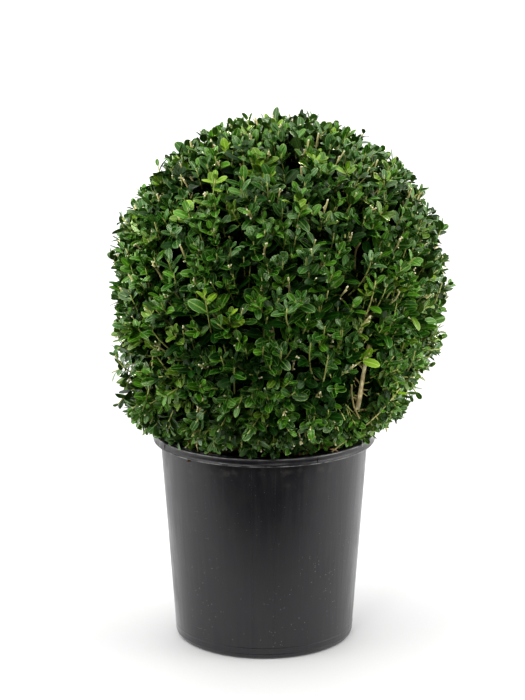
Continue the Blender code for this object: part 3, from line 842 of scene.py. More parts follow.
dice = random.Random(11)
MAIN_TWIGS = {index: [] for index in MASS_STEMS}
fringe = [(LOWEST, tau * i / FRINGE_TWIGS) for i in range(FRINGE_TWIGS)]
for polar, turn in [*even_directions(BOUGH_TWIGS), *fringe]:
    MAIN_TWIGS[mass_at(polar, turn)].append(main_twig(polar, turn, dice))
print("main twigs by mass:", {index: len(found) for index, found in MAIN_TWIGS.items()})

# %% [markdown]
# ## Room for the bough that shows
# The foliage is open in front of the outer bough. A strip that follows the bough tells whether a
# point lies in that opening, where no shoot or leaf may be.

# %% The opening in front of the outer bough
OPENING_LOW = 0.294
OPENING_WIDTH, OPENING_BACK = 0.014, 0.004
OPENING_STEP = 0.008  # how far along the bough each station of the strip counts
OPENING_WAY = Vector((-0.1, -1, 0.3)).normalized()


def opening_strip():
    for place in stations(ROUTES["bough_front_right"])[::3]:
        point = place.translation
        if point.z > OPENING_LOW:
            forward = place.col[2].to_3d()
            aside = forward.cross(OPENING_WAY).normalized()
            yield point, forward, aside, aside.cross(forward).normalized()


STRIP = list(opening_strip())


def in_opening(point):
    for place, forward, aside, out in STRIP:
        offset = point - place
        if abs(offset.dot(aside)) < OPENING_WIDTH / 2 and abs(offset.dot(forward)) < OPENING_STEP:
            if offset.dot(out) > -OPENING_BACK:
                return True
    return False


print("opening strip:", len(STRIP), "stations")

# %% [markdown]
# ## Shoots
# A clipped shoot is 5 to 9 cm of young stem, with its leaves near the light. On the sides of the
# ball shoots turn up towards the light, and only low ones hang a little over the rim. Shears leave
# them at slightly different depths, and crowding leaves dark pockets between sprays.

# %% A shoot's route
HOLD_LENGTH = 0.012  # how far a shoot follows the twig that it stands on
SHOOT_POINTS = 10


def branch_off(polar, turn, base, bend, tip):
    """A shoot's route. It starts at the point of its mass's main twigs that is nearest to its base."""
    twigs = MAIN_TWIGS[mass_at(polar, turn)]
    holds = [(twig[i], twig[i + 1]) for twig in twigs for i in range(4, TWIG_POINTS - 1)]
    hold, after = min(holds, key=lambda places: (places[0] - base).length)
    onward = (after - hold).normalized()
    return curve_through((hold, hold + onward * HOLD_LENGTH, bend, tip), SHOOT_POINTS - 1)


def shoot_on(route, outward, size, inner=False):
    return SimpleNamespace(route=route, outward=outward, size=size, inner=inner)


def is_blocked(route):
    return any(over_pot(point) or in_opening(point) for point in route)


print("places to branch off:", sum(map(len, MAIN_TWIGS.values())) * (TWIG_POINTS - 5))

# %% The hem over the rim
HEM_BEYOND = (0, 0.008, 0.014, 0.036, 0.048)  # how far outside the rim, and how low foliage hangs there
HEM_HEIGHTS = (0.248, 0.2485, 0.258, 0.271, 0.286)
WELL_ABOVE = 1.0  # stands for any height inside the rim, where nothing can hang below it


def above_hem(point):
    """How far a point outside the rim is above the lowest that foliage may hang."""
    beyond = hypot(point.x, point.y) - RIM_RADIUS
    return point.z - float(np.interp(beyond, HEM_BEYOND, HEM_HEIGHTS)) if beyond > 0 else WELL_ABOVE


print("hem: from", HEM_HEIGHTS[0], "m at the rim to", HEM_HEIGHTS[-1], "m at", HEM_BEYOND[-1], "m outside it")

# %% Where the ball is thinner
POCKET_LEVEL, POCKET_FADE, POCKET_SKIP = -0.07, 0.14, 0.8  # the fade leaves fewer pockets high up
LOW_ANGLES = angles(104, 134)
GAUZY_FROM = radians(112)  # from here down the edges let the sky through
GAUZY_SKIP, GAUZY_INNER_SKIP = 0.7, 0.95
SAMPLE = 1000


def is_low_side(polar, turn, narrow=0.55):
    return LOW_ANGLES[0] < polar < LOW_ANGLES[1] and abs(cos(turn)) > narrow


def is_thinned(outward, polar, turn, inner, dice):
    in_pocket = noise.noise(outward * 6.5) < POCKET_LEVEL - POCKET_FADE * outward.z
    if in_pocket and not inner and dice.random() < POCKET_SKIP:
        return True
    gauzy = polar > GAUZY_FROM and is_low_side(polar, turn, 0.83)
    return gauzy and dice.random() < (GAUZY_INNER_SKIP if inner else GAUZY_SKIP)


print("of", SAMPLE, "even directions,", sum(is_low_side(*place) for place in even_directions(SAMPLE)),
      "are low on a side")

# %% Where a shoot ends, and the size of its leaves
SHOOT_INSET, INNER_INSET = (0.002, 0.015), (0.028, 0.048)
STRAY_BELOW, STRAY_OUTSET = 0.0034, 0.016  # the shoots nearest the surface stand out a little past it
HOLLOW_INSET = 0.012  # deeper still where the ball has a hollow
HEM_ANGLES, HEM_OUTSET = (radians(126), LOWEST), 0.011  # low shoots stand further out
LEAF_SIZE, INNER_SIZE, LARGER_UPWARDS, SMALLER_RIGHT = 1.02, 1.25, 0.1, 0.06
LOW_SMALLER, LOW_LEFT_SMALLER = 0.8, 0.92  # low on both sides leaves are smaller, mostly on the right


def tip_inset(outward, polar, inner, dice):
    """How far inside the clipped outline a shoot ends."""
    hollow = max(0, noise.noise(outward * 4 + Vector((9, 2, 4))))
    inset = dice.uniform(*(INNER_INSET if inner else SHOOT_INSET)) + HOLLOW_INSET * hollow
    if inset < STRAY_BELOW:
        inset -= STRAY_OUTSET * (STRAY_BELOW - inset) / STRAY_BELOW
    return inset - HEM_OUTSET if polar > HEM_ANGLES[0] else inset


def leaf_size(outward, polar, turn, inner):
    if inner:
        return INNER_SIZE
    if is_low_side(polar, turn):
        return LOW_SMALLER if cos(turn) > 0 else LOW_LEFT_SMALLER
    return LEAF_SIZE + LARGER_UPWARDS * outward.z - SMALLER_RIGHT * outward.x


print("leaf size at the top:", round(leaf_size(UP, 0, 0, False), 2))

# %% One shoot
SHOOT_LENGTH, INNER_LENGTH = (0.055, 0.085), (0.032, 0.046)
SHOOT_STRAY, SHOOT_LEAN = 0.018, 0.26  # how unevenly they are placed and turned
HEM_ROOM = (0.003, 0.018)  # how much higher than the hem a shoot's tip stays
LIFT_ANGLES = angles(0, 35, 70, 100, 122, 139)
LIFTS = (0.1, 0.5, 1.2, 1.2, 0.3, -0.8)  # how far a shoot turns up, by its angle on the ball
LIFT_CHOICES = (0.7, 1.0, 1.0, 1.3, 2.3)


def scattered(dice, spread):
    """A small random offset."""
    return Vector([dice.gauss(0, spread) for _ in range(3)])


def lift_at(polar):
    return float(np.interp(polar, LIFT_ANGLES, LIFTS))


def grow_shoot(polar, turn, dice, inner=False):
    """One shoot, from its hold on a main twig to its clipped tip, or None where none can grow."""
    polar = min(polar + dice.gauss(0, SHOOT_STRAY), LOWEST)
    turn += dice.gauss(0, SHOOT_STRAY) / max(sin(polar), 0.2)
    outward = on_unit_ball(polar, turn)
    if polar < LOW_ANGLES[1] and is_thinned(outward, polar, turn, inner, dice):
        return None
    tip = ball_point(tip_inset(outward, polar, inner, dice), polar, turn)
    tip.z -= min(above_hem(tip) - dice.uniform(*HEM_ROOM), 0)
    lift = lift_at(polar) * dice.choice(LIFT_CHOICES)
    course = (outward + UP * lift + scattered(dice, SHOOT_LEAN)).normalized()
    length = dice.uniform(*(INNER_LENGTH if inner else SHOOT_LENGTH))
    base = tip - course * length * 0.7 - outward * length * 0.3
    route = branch_off(polar, turn, base, tip - course * length * 0.6, tip)
    if any(over_pot(point) or above_hem(point) < 0 for point in route[4:]):
        return None
    if any(in_opening(point) for point in route[3:]):
        return None
    return shoot_on(route, outward, leaf_size(outward, polar, turn, inner), inner)


print("a shoot at the widest part turns up by", lift_at(pi / 2), "for 1 outwards")

# %% [markdown]
# ## Shoots with places of their own
# A skirt of short shoots hangs close over the rim, others stand on the outer bough, and a few thin
# bare twigs come out beside the rim.

# %% Skirt, bough and rim
SKIRT_RADII, SKIRT_HEIGHTS = (0.108, 0.136), (0.25, 0.262)
SKIRT_LENGTH, SKIRT_RISE = 0.03, (0.004, 0.022)
COVER_FROM, COVER_LENGTH = 0.246, (0.012, 0.022)
BESIDE_LENGTH, BESIDE_CHANCE, LEFT_CHANCE = (0.022, 0.042), 0.6, 0.7
RIM_TWIG_FOOT, RIM_TWIG_BEND = (0.113, 0.2325), (0.125, 0.256)  # distance from the axis, and height
RIM_TWIG_WAY = ((radians(132), 0.08), (radians(117), 0.22))  # polar, and how far it leans aside
RIM_TWIG_INSET = 0.008
RIM_TWIG_TURNS = angles(-53, 25, 98, 168, 231)


def skirt_shoot(turn, dice):
    out = heading(turn)
    tip = out * dice.uniform(*SKIRT_RADII) + UP * dice.uniform(*SKIRT_HEIGHTS)
    base = tip - out * SKIRT_LENGTH + UP * dice.uniform(*SKIRT_RISE)
    route = branch_off(LOWEST, turn, base, base, tip)
    return None if is_blocked(route[3:]) else shoot_on(route, (out - UP * 0.35).normalized(), 0.95)


def shoots_by_bough(dice):
    """Short shoots on the outer bough: they hide its foot, and stand to both sides of the rest."""
    for place in stations(ROUTES["bough_front_right"]):
        point = place.translation
        if COVER_FROM < point.z < OPENING_LOW:
            outward = Vector((dice.uniform(-0.5, 0.7), -1, dice.uniform(0.0, 0.7))).normalized()
            tip = point + outward * dice.uniform(*COVER_LENGTH)
        elif point.z > OPENING_LOW and dice.random() < BESIDE_CHANCE:
            aside = place.col[2].to_3d().cross(OPENING_WAY).normalized()
            aside *= -1 if dice.random() < LEFT_CHANCE else 1
            outward = (aside - OPENING_WAY * dice.uniform(0.0, 0.5)).normalized()
            tip = point + (outward + UP * dice.uniform(-0.2, 1.3)) * dice.uniform(*BESIDE_LENGTH)
            outward = (outward + OPENING_WAY).normalized()
        else:
            continue
        bend = point.lerp(tip, 0.5) + UP * 0.003
        yield shoot_on(curve_through((point, bend, bend, tip), SHOOT_POINTS - 1), outward, 1.0)


def rim_twig(turn):
    """A thin bare twig from the soil beside the rim, out over it and up the outside of the ball."""
    foot, bend = (heading(turn) * far + UP * height for far, height in (RIM_TWIG_FOOT, RIM_TWIG_BEND))
    low, top = (ball_point(RIM_TWIG_INSET, polar, turn + lean) for polar, lean in RIM_TWIG_WAY)
    return shoot_on(curve_through((foot, bend, low, top), SHOOT_POINTS - 1), heading(turn), 0.75)


print("rim twigs at", [round(turn, 2) for turn in RIM_TWIG_TURNS])

# %% Grow the shoots
SHOOTS, INNER_SHOOTS, HEM_SHOOTS = 1760, 960, 300  # at the surface, shaded under it, and low to the rim
LOW_SHOOTS, LOW_SPREAD = 140, 0.9  # more of them low on both sides
SKIRT_SHOOTS = 170

dice = random.Random(23)
tried = [grow_shoot(polar, turn, dice) for polar, turn in even_directions(SHOOTS)]
tried += [grow_shoot(polar, turn, dice, inner=True) for polar, turn in even_directions(INNER_SHOOTS)]
tried += [grow_shoot(dice.uniform(*HEM_ANGLES), i * GOLDEN_TURN, dice) for i in range(HEM_SHOOTS)]
for i in range(LOW_SHOOTS):
    sideways = 0 if i % 2 else pi
    polar = dice.uniform(*LOW_ANGLES)
    tried.append(grow_shoot(polar, sideways + dice.uniform(-LOW_SPREAD, LOW_SPREAD), dice))
tried += [skirt_shoot(i * GOLDEN_TURN, dice) for i in range(SKIRT_SHOOTS)]
tried += shoots_by_bough(dice)
shoots = [shoot for shoot in tried if shoot]
rim_twigs = [rim_twig(turn) for turn in RIM_TWIG_TURNS]
print("shoots:", len(shoots), "of", len(tried), "tried")

# %% [markdown]
# ## Leaves on a shoot
# Box leaves stand in opposite pairs, each turned a quarter round from the last. Pairs near the tip
# are small and point forward, older ones are larger and spread. Blades turn part of the way towards
# outside and up. A leaf that would leave the clipped outline, touch the pot or cover the opening is
# left out. About one shoot in eight ends in a cut.

# %% How a shoot's leaves sit
LEAF_LENGTHS = (0.0095, 0.0146, 0.0184, 0.0202, 0.0204, 0.0194, 0.0182, 0.017)
LEAF_SPREADS = angles(28, 42, 52, 60, 66, 72, 76, 80)
NODE_STEPS = (0.001, 0.0056, 0.0074, 0.0088, 0.0096, 0.01, 0.0104, 0.0104)
FALLEN_SHARES = (0.0, 0.0, 0.02, 0.05, 0.15, 0.35, 0.5, 0.6)  # older leaves have dropped in the shade
LEAF_OVERHANG, LOW_OVERHANG, LOW_FROM = 0.009, 0.022, 0.285  # the shears leave more below this height
STALK = 0.0006
LIGHT_PULL, OUTSIDE_PULL, UP_PULL = 0.48, 0.75, 0.55
TURN_SPREAD, OPEN_SPREAD, ALONG_SPREAD, FACE_SPREAD = 0.12, 0.17, 0.12, 0.32  # no two leaves sit alike
INNER_PAIRS = 5


def walk_back(route, distance):
    """The point this far back from a route's end, and the direction there."""
    for after, before in zip(route[::-1], route[-2::-1]):
        step = (after - before).length
        if distance <= step:
            return after.lerp(before, distance / step), (after - before).normalized()
        distance -= step
    return None, None


def square_to(direction, along):
    return (direction - along * direction.dot(along)).normalized()


def leaf_fits(root, along, length, droop):
    for share in (0.3, 0.65, 1):
        point = root + along * length * share
        overhang = LOW_OVERHANG if point.z < LOW_FROM else LEAF_OVERHANG
        if depth_inside(point) < -overhang or is_blocked([point]) or above_hem(point) < -droop:
            return False
    return True


def leaf_pair(place, stem_way, spread, length, turn, outward, dice):
    """Two opposite leaves: where each starts, which way it runs and faces, and its length."""
    aside = square_to(outward if abs(outward.dot(stem_way)) < 0.9 else Vector((1, 0.3, 0)), stem_way)
    light = outward * OUTSIDE_PULL + UP * UP_PULL
    for half in (0, pi):
        out = Matrix.Rotation(turn + half, 3, stem_way) @ aside
        open_by = spread + dice.gauss(0, OPEN_SPREAD)
        along = stem_way * cos(open_by) + out * sin(open_by)
        along = (along + scattered(dice, ALONG_SPREAD)).normalized()
        face = stem_way * sin(open_by) - out * cos(open_by)
        face = square_to(face + light * LIGHT_PULL + scattered(dice, FACE_SPREAD), along)
        yield place + out * STALK, along, face, length * dice.uniform(0.84, 1.12)


print("a shoot has up to", 2 * len(LEAF_LENGTHS), "leaves")

# %% The shade of each leaf
SHADE_CHANCES = {"deep_green": 0.5, "grass_green": 0.22, "sage_green": 0.12, "old_and_shaded_green": 0.08,
                 "olive_green": 0.05, "new_green": 0.03}
# Paler, more olive shades low on the sides: painted light from below and behind.
LIT_LOW_SIDE_CHANCES = {"deep_green": 0.22, "grass_green": 0.26, "sage_green": 0.2, "old_and_shaded_green": 0.12,
                    "olive_green": 0.2}
LOW_MIDDLE_SHADED = 0.15  # the share of shoots low in front and behind that take the dark shade, as painted shade
FRESH_AND_LIT_LEVEL, FRESH_CHANCE, NEW_CHANCE = 0.42, 0.45, 0.4


def on_low_side(outward):
    return outward.z < -0.15 and abs(outward.x) > 0.5


def shade_of_shoot(outward, dice):
    """Fresh sprays grow in clusters, more of them high and on the left, which paints the light from above and
    the left. Low sides are paler and more olive, which paints the light from below and behind.
    """
    # Leaning this towards the top and the left paints light where it falls most.
    fresh_and_lit = noise.noise(outward * 5 + Vector((3, 8, 1))) + 0.25 * outward.z - 0.12 * outward.x
    if fresh_and_lit > FRESH_AND_LIT_LEVEL and dice.random() < FRESH_CHANCE:
        return "new_green" if dice.random() < NEW_CHANCE else "grass_green"
    # Some shoots low in front and behind take the dark shade: painted shade low under the ball.
    if outward.z < -0.1 and not on_low_side(outward) and dice.random() < LOW_MIDDLE_SHADED:
        return "old_and_shaded_green"
    pick = dice.random()
    for shade, chance in (LIT_LOW_SIDE_CHANCES if on_low_side(outward) else SHADE_CHANCES).items():
        pick -= chance
        if pick < 0:
            return shade
    return "deep_green"


def shade_of_leaf(shade, node, outward, dice):
    """Leaves further back on a shoot, at higher nodes, are older, and their darker shades also paint the
    shade that they stand in.
    """
    # Low on the sides the shoot's paler shade stays on its first pairs, as painted light.
    if on_low_side(outward) and node < 5:
        return shade
    # Darker shades further back on the shoot: partly the leaves' age, partly painted shade.
    if node >= 6 or node == 5 and dice.random() < 0.6:
        return "shadow_green"
    if node >= 3 and dice.random() < (0.4 if node == 3 else 0.8):
        return "old_and_shaded_green"
    if node <= 1 and shade == "deep_green" and dice.random() < 0.3:
        return "grass_green"
    return "grass_green" if shade == "new_green" and node >= 3 else shade


print("low on a side:", LIT_LOW_SIDE_CHANCES)

# %% Set the leaves
CUT_CHANCE = 0.12
HEM_DROOP = (-0.003, 0.009)  # how much lower than the hem a shoot's leaves may hang


def leaves_on(shoot, dice):
    """Each leaf of a shoot, pair by pair back from its tip, with its shade."""
    shade = shade_of_shoot(shoot.outward, dice)
    turn = dice.uniform(0, pi)
    back = 0.0
    droop = dice.uniform(*HEM_DROOP)
    for node, (step, length, spread) in enumerate(zip(NODE_STEPS, LEAF_LENGTHS, LEAF_SPREADS)):
        back += step * dice.uniform(0.85, 1.2)
        turn += pi / 2 + dice.gauss(0, TURN_SPREAD)
        if node == 0 and shoot.cut:
            continue
        place, stem_way = walk_back(shoot.route, back)
        if place is None or (node == INNER_PAIRS and shoot.inner):
            break
        for leaf in leaf_pair(place, stem_way, spread, length * shoot.size, turn, shoot.outward, dice):
            fallen = dice.random() < FALLEN_SHARES[node]
            if not fallen and leaf_fits(leaf[0], leaf[1], leaf[3], droop):
                yield "inside" if shoot.inner else shade_of_leaf(shade, node, shoot.outward, dice), leaf


dice = random.Random(31)
leaves = {shade: [] for shade in [*LEAF_SHADES, "inside"]}
for shoot in shoots + rim_twigs:
    shoot.cut = not shoot.inner and dice.random() < CUT_CHANCE
    for shade, leaf in leaves_on(shoot, dice):
        leaves[shade].append(leaf)
print("leaves:", {shade: len(found) for shade, found in leaves.items()}, sum(map(len, leaves.values())))

# %% [markdown]
# ## One leaf, made once
# The ball has about twenty-seven thousand leaves, so one is made once and stamped: a small grid
# whose rows are drawn in to the outline of a box leaf. Each copy is folded along its midrib and
# curled along its length by its own amount.

# %% The leaf template
LEAF_PLACES = (0.0, 0.12, 0.34, 0.6, 0.82, 0.95, 1.0)  # rows along the leaf, from the stalk to the tip
LEAF_OUTLINE = (0.0, 0.54, 0.91, 1.00, 0.8, 0.43, 0.0)  # its width at each row, as a share of its widest


def template_arrays(bm, tile_place):
    """A template as arrays: points, faces as rows of point numbers, and each point's place in a tile."""
    bm.verts.index_update()
    points = np.array([vert.co for vert in bm.verts])
    faces = [[vert.index for vert in face.verts] for face in bm.faces]
    places = np.array([tile_place(vert.co) for vert in bm.verts])
    bm.free()
    return points, faces, TILE_MARGIN + places * (1 - 2 * TILE_MARGIN)


def leaf_template():
    bm = bmesh.new()
    bmesh.ops.create_grid(bm, x_segments=2, y_segments=len(LEAF_PLACES) - 1, size=0.5)
    for vert in bm.verts:
        row = round((vert.co.y + 0.5) * (len(LEAF_PLACES) - 1))
        vert.co.x *= LEAF_OUTLINE[row]
        vert.co.y = LEAF_PLACES[row]
    bmesh.ops.remove_doubles(bm, verts=bm.verts, dist=1e-5)
    return template_arrays(bm, lambda co: (co.x + 0.5, co.y))


LEAF_POINTS, LEAF_FACES, LEAF_TILE = leaf_template()
print("leaf template:", len(LEAF_POINTS), "points,", sum(len(face) - 2 for face in LEAF_FACES), "triangles")

# %% Stamp a template into one mesh
FOLIAGE = ["foliage_top"] + ["foliage_" + name for name in SIDES]
LEAF_WIDTHS = (0.48, 0.6)  # shares of the leaf's length
LEAF_FOLDS, LEAF_CURLS = (-0.05, 0.42), (-0.32, 0.12)


def joined_mesh(name, points, faces, tile_places, dice):
    """One mesh from many copies: points is (copies, template points, 3)."""
    copies, size = points.shape[:2]
    corners = np.concatenate(faces)
    lengths = np.tile([len(face) for face in faces], copies)
    mesh = bpy.data.meshes.new(name)
    mesh.vertices.add(copies * size)
    mesh.vertices.foreach_set("co", points.astype(np.float32).ravel())
    all_corners = (np.arange(copies)[:, None] * size + corners).ravel()
    mesh.loops.add(len(all_corners))
    mesh.loops.foreach_set("vertex_index", all_corners.astype(np.int32))
    starts = np.concatenate([[0], np.cumsum(lengths)[:-1]])
    mesh.polygons.add(len(lengths))
    mesh.polygons.foreach_set("loop_start", starts.astype(np.int32))
    mesh.update(calc_edges=True)
    tiles = np.array([(dice.randrange(TILES), dice.randrange(TILES)) for _ in range(copies)])
    drawn = (tiles[:, None, :] + tile_places[corners][None]) / TILES
    mesh.uv_layers.new(name="OFBake").data.foreach_set("uv", drawn.astype(np.float32).ravel())
    mesh.shade_smooth()
    return mesh


def stamp_leaves(name, found, dice, folds=LEAF_FOLDS, curls=LEAF_CURLS):
    roots, alongs, faces_up, lengths = (np.array(part) for part in zip(*found))
    lengths = lengths[:, None]
    asides = np.cross(alongs, faces_up)
    width, fold, curl = (np.array([dice.uniform(*limits) for _ in found])[:, None]
                         for limits in (LEAF_WIDTHS, folds, curls))
    width = width * lengths
    x, y = LEAF_POINTS[:, 0][None], LEAF_POINTS[:, 1][None]
    across = x * width * np.cos(fold)
    rise = np.abs(x) * width * np.sin(fold) + curl * lengths * y * y
    run = y * lengths
    points = roots[:, None] + across[..., None] * asides[:, None]
    points += run[..., None] * alongs[:, None] + rise[..., None] * faces_up[:, None]
    return joined_mesh(name, points, LEAF_FACES, LEAF_TILE, dice)


dice = random.Random(41)
for shade, found in leaves.items():
    finish = LEAF_MATERIALS.get(shade, LEAF_MATERIALS["shadow_green"])
    set_piece("leaves_" + shade, stamp_leaves("leaves_" + shade, found, dice), finish, FOLIAGE)

# %% [markdown]
# ## Stems, made once
# Twigs are stamped in the same way. Their template is a tube, extruded ring by ring and closed at
# its end, and each copy's rings are laid along that twig's own route.

# %% The tube template
def tube_template(rings, sides):
    bm = bmesh.new()
    bmesh.ops.create_circle(bm, segments=sides, radius=1)
    edges = list(bm.edges)
    for _ in range(rings - 1):
        edges = add_ring(bm, edges, Matrix.Translation(UP))
    close_end(bm, edges)
    return template_arrays(bm, lambda co: (atan2(co.y, co.x) / tau + 0.5, co.z / (rings - 1)))


def unit(vectors):
    return vectors / np.linalg.norm(vectors, axis=2, keepdims=True)


def stamp_tubes(name, routes, radii, sides, dice):
    """Tubes along routes of the same number of points. Their radii go from the first to the last."""
    template, faces, tile = tube_template(len(routes[0]), sides)
    courses = np.array(routes)
    along = unit(np.gradient(courses, axis=1))
    whole = courses[:, -1] - courses[:, 0]
    reference = np.eye(3)[np.argmin(np.abs(whole), axis=1)][:, None]
    first = unit(np.cross(along, reference))
    second = np.cross(along, first)
    thick = radii[0] + (radii[1] - radii[0]) * np.linspace(0, 1, courses.shape[1])
    ring = template[:, 2].round().astype(int)
    x, y = template[:, 0][None, :, None], template[:, 1][None, :, None]
    points = courses[:, ring] + thick[None, ring, None] * (x * first[:, ring] + y * second[:, ring])
    return joined_mesh(name, points, faces, tile, dice)


def stem_piece(name, routes, radii, sides, material, dice):
    set_piece(name, stamp_tubes(name, routes, radii, sides, dice), material, FOLIAGE)


print("tube of 10 rings:", len(tube_template(10, 4)[0]), "points")

# %% [markdown]
# ## Wood inside the ball
# The short stems in the masses and the main twigs are old wood. A shoot's own stem is old wood
# as far as its leaves, and green from there.

# %% Stamp the stems
MASS_STEM_RADII, MAIN_TWIG_RADII = (0.0036, 0.0022), (0.0019, 0.0011)
WOODY_RADII, GREEN_RADII, RIM_TWIG_RADII = (0.0011, 0.0011), (0.0011, 0.0007), (0.001, 0.0006)
GREEN_FROM = 4  # the point of a shoot's route where its green part starts

dice = random.Random(51)
mains = [route for found in MAIN_TWIGS.values() for route in found]
stem_piece("mass_stems", list(MASS_STEMS.values()), MASS_STEM_RADII, 8, WOODY_TWIG, dice)
stem_piece("main_twigs", mains, MAIN_TWIG_RADII, 6, WOODY_TWIG, dice)
woody = [shoot.route[:GREEN_FROM + 1] for shoot in shoots]
stem_piece("woody_shoots", woody, WOODY_RADII, 4, WOODY_TWIG, dice)
stem_piece("rim_twigs", [twig.route for twig in rim_twigs], RIM_TWIG_RADII, 6, PRUNED_TWIG, dice)
green = [shoot.route[GREEN_FROM:] for shoot in shoots]
stem_piece("green_shoots", green, GREEN_RADII, 4, GREEN_STEM, dice)

# %% [markdown]
# ## Pruned twigs and cut ends
# Years of shearing leave bare twigs with short spurs at the surface. They, and the shoots that
# end in a cut, each carry a thin pale disc.

# %% Cut ends
STUBS, STUB_STEPS = 210, 4
STUB_INSET, STUB_LENGTH, STUB_FOOT = (0.002, 0.014), (0.022, 0.052), 0.012
STUB_LIFT, STUB_LEAN, STUB_CROOKED = 1.5, 0.18, 0.0009
STUB_RADII, SPUR_RADII, CUT_RADII = (0.0014, 0.001), (0.0009, 0.0008), (0.00095, 0.00095)
SPUR_PLACES, SPUR_CHANCE, SPUR_LENGTHS = (1, 2, 2, 3, 3), 0.7, (0.002, 0.005)
SHOOT_CUT, STUB_CUT = 0.0011, 0.0012  # thickness of the pale disc


def stub_route(polar, turn, dice):
    """An old pruned twig with no leaves at its end, a little crooked."""
    outward = on_unit_ball(polar, turn)
    tip = ball_point(dice.uniform(*STUB_INSET), polar, turn)
    course = (outward + UP * (STUB_LIFT * lift_at(polar)) + scattered(dice, STUB_LEAN)).normalized()
    start = tip - course * dice.uniform(*STUB_LENGTH) - outward * STUB_FOOT
    return [point + scattered(dice, STUB_CROOKED) for point in straight_to(start, tip, STUB_STEPS)]


def spurs_on(route, dice):
    """Short remains of side shoots."""
    for i in SPUR_PLACES:
        if dice.random() < SPUR_CHANCE:
            along = (route[i + 1] - route[i]).normalized()
            aside = square_to(scattered(dice, 1), along)
            place = route[i].lerp(route[i + 1], dice.random())
            yield [place, place + (along + aside).normalized() * dice.uniform(*SPUR_LENGTHS)]


def disc_on(route, thickness):
    return [route[-1], route[-1] + (route[-1] - route[-2]).normalized() * thickness]


dice = random.Random(61)
stub_places = [place for place in even_directions(STUBS) if not is_low_side(*place)]
stubs = [stub_route(polar, turn, dice) for polar, turn in stub_places]
stubs = [route for route in stubs if not is_blocked(route)]
spurs = [spur for route in stubs for spur in spurs_on(route, dice)]
stem_piece("pruned_twigs", stubs, STUB_RADII, 6, PRUNED_TWIG, dice)
stem_piece("pruned_spurs", spurs, SPUR_RADII, 5, PRUNED_TWIG, dice)
discs = [disc_on(shoot.route, SHOOT_CUT) for shoot in shoots if shoot.cut]
discs += [disc_on(route, STUB_CUT) for route in stubs + spurs]
stem_piece("cut_ends", discs, CUT_RADII, 6, CUT_WOOD, dice)

# %% [markdown]
# ## Crumbs, chips and dry leaves
# The soil shows in a thin dark gap inside the rim. Crumbs of compost and a few bark chips give it
# a broken edge, and some dry leaves have fallen on it from above.

# %% Scatter the crumbs
CRUMBS, CRUMB_SIZES, CRUMB_FLATNESS = 900, (0.001, 0.0032), (0.5, 0.9)
CHIP_COUNT, CHIP_SIZES, CHIP_FLATNESS = 160, (0.003, 0.0065), (0.15, 0.35)
CRUMB_ROUGHNESS = 0.35
DRY_LEAVES, CAUGHT_LEAVES = 150, 45  # the caught ones hang in the lowest twigs at the rim
DRY_LENGTHS, DRY_FOLDS, DRY_CURLS = (0.009, 0.016), (0.2, 0.9), (-0.5, 0.6)


def crumb_template():
    bm = bmesh.new()
    bmesh.ops.create_icosphere(bm, subdivisions=1, radius=1)
    for vert in bm.verts:
        vert.co *= 1 + CRUMB_ROUGHNESS * noise.noise(vert.co * 2.3)
    return template_arrays(bm, lambda co: (co.x / 3 + 0.5, co.y / 3 + 0.5))


def any_heading(dice):
    return heading(dice.uniform(0, tau))


def on_soil(dice):
    level = (soil_radius(SOIL_EDGE) - 0.004) * sqrt(dice.random())
    return any_heading(dice) * level + UP * soil_height(level / soil_radius(SOIL_EDGE))


def scatter(name, count, sizes, flatness, material, dice):
    template, faces, tile = crumb_template()
    points = []
    for _ in range(count):
        size = dice.uniform(*sizes)
        shape = Matrix.Diagonal((size, size * dice.uniform(0.5, 0.9), size * dice.uniform(*flatness)))
        tumbled = Matrix.Rotation(dice.gauss(0, 0.4), 3, "X") @ Matrix.Rotation(dice.uniform(0, 6.3), 3, "Z")
        points.append(template @ np.array(tumbled @ shape).T + np.array(on_soil(dice)))
    set_piece(name, joined_mesh(name, np.array(points), faces, tile, dice), material)


def caught_at_rim(dice):
    turn = dice.choice(RIM_TWIG_TURNS) + dice.gauss(0, 0.1)
    return heading(turn) * dice.uniform(0.108, 0.13) + UP * dice.uniform(0.25, 0.26)


def dry_leaf(caught, dice):
    place = caught_at_rim(dice) if caught else on_soil(dice) + UP * dice.uniform(0.002, 0.01)
    along = (any_heading(dice) + UP * dice.gauss(0, 0.3)).normalized()
    face = square_to(UP + any_heading(dice) * 0.5, along)
    return place, along, face, dice.uniform(*DRY_LENGTHS)


dice = random.Random(71)
scatter("soil_crumbs", CRUMBS, CRUMB_SIZES, CRUMB_FLATNESS, SOIL, dice)
scatter("soil_chips", CHIP_COUNT, CHIP_SIZES, CHIP_FLATNESS, CHIPS, dice)
dry = [dry_leaf(i >= DRY_LEAVES, dice) for i in range(DRY_LEAVES + CAUGHT_LEAVES)]
set_piece("dry_leaves", stamp_leaves("dry_leaves", dry, dice, DRY_FOLDS, DRY_CURLS), DRY_LEAF)

# %% [markdown]
# ## Floor and light
# A white floor and a white surround, as in a studio. Black plastic shows little but reflections,
# so the surround's dark front draws the dark middle of the pot. The floor looks white to the camera,
# but what it throws back at the plant fades out some way in front of the pot.

# %% Floor
FLOOR_DARK_FROM, FLOOR_BRIGHT_FROM = -0.52, -0.25
FLOOR_GLOW = 0.45
FLOOR_SIZE = 40


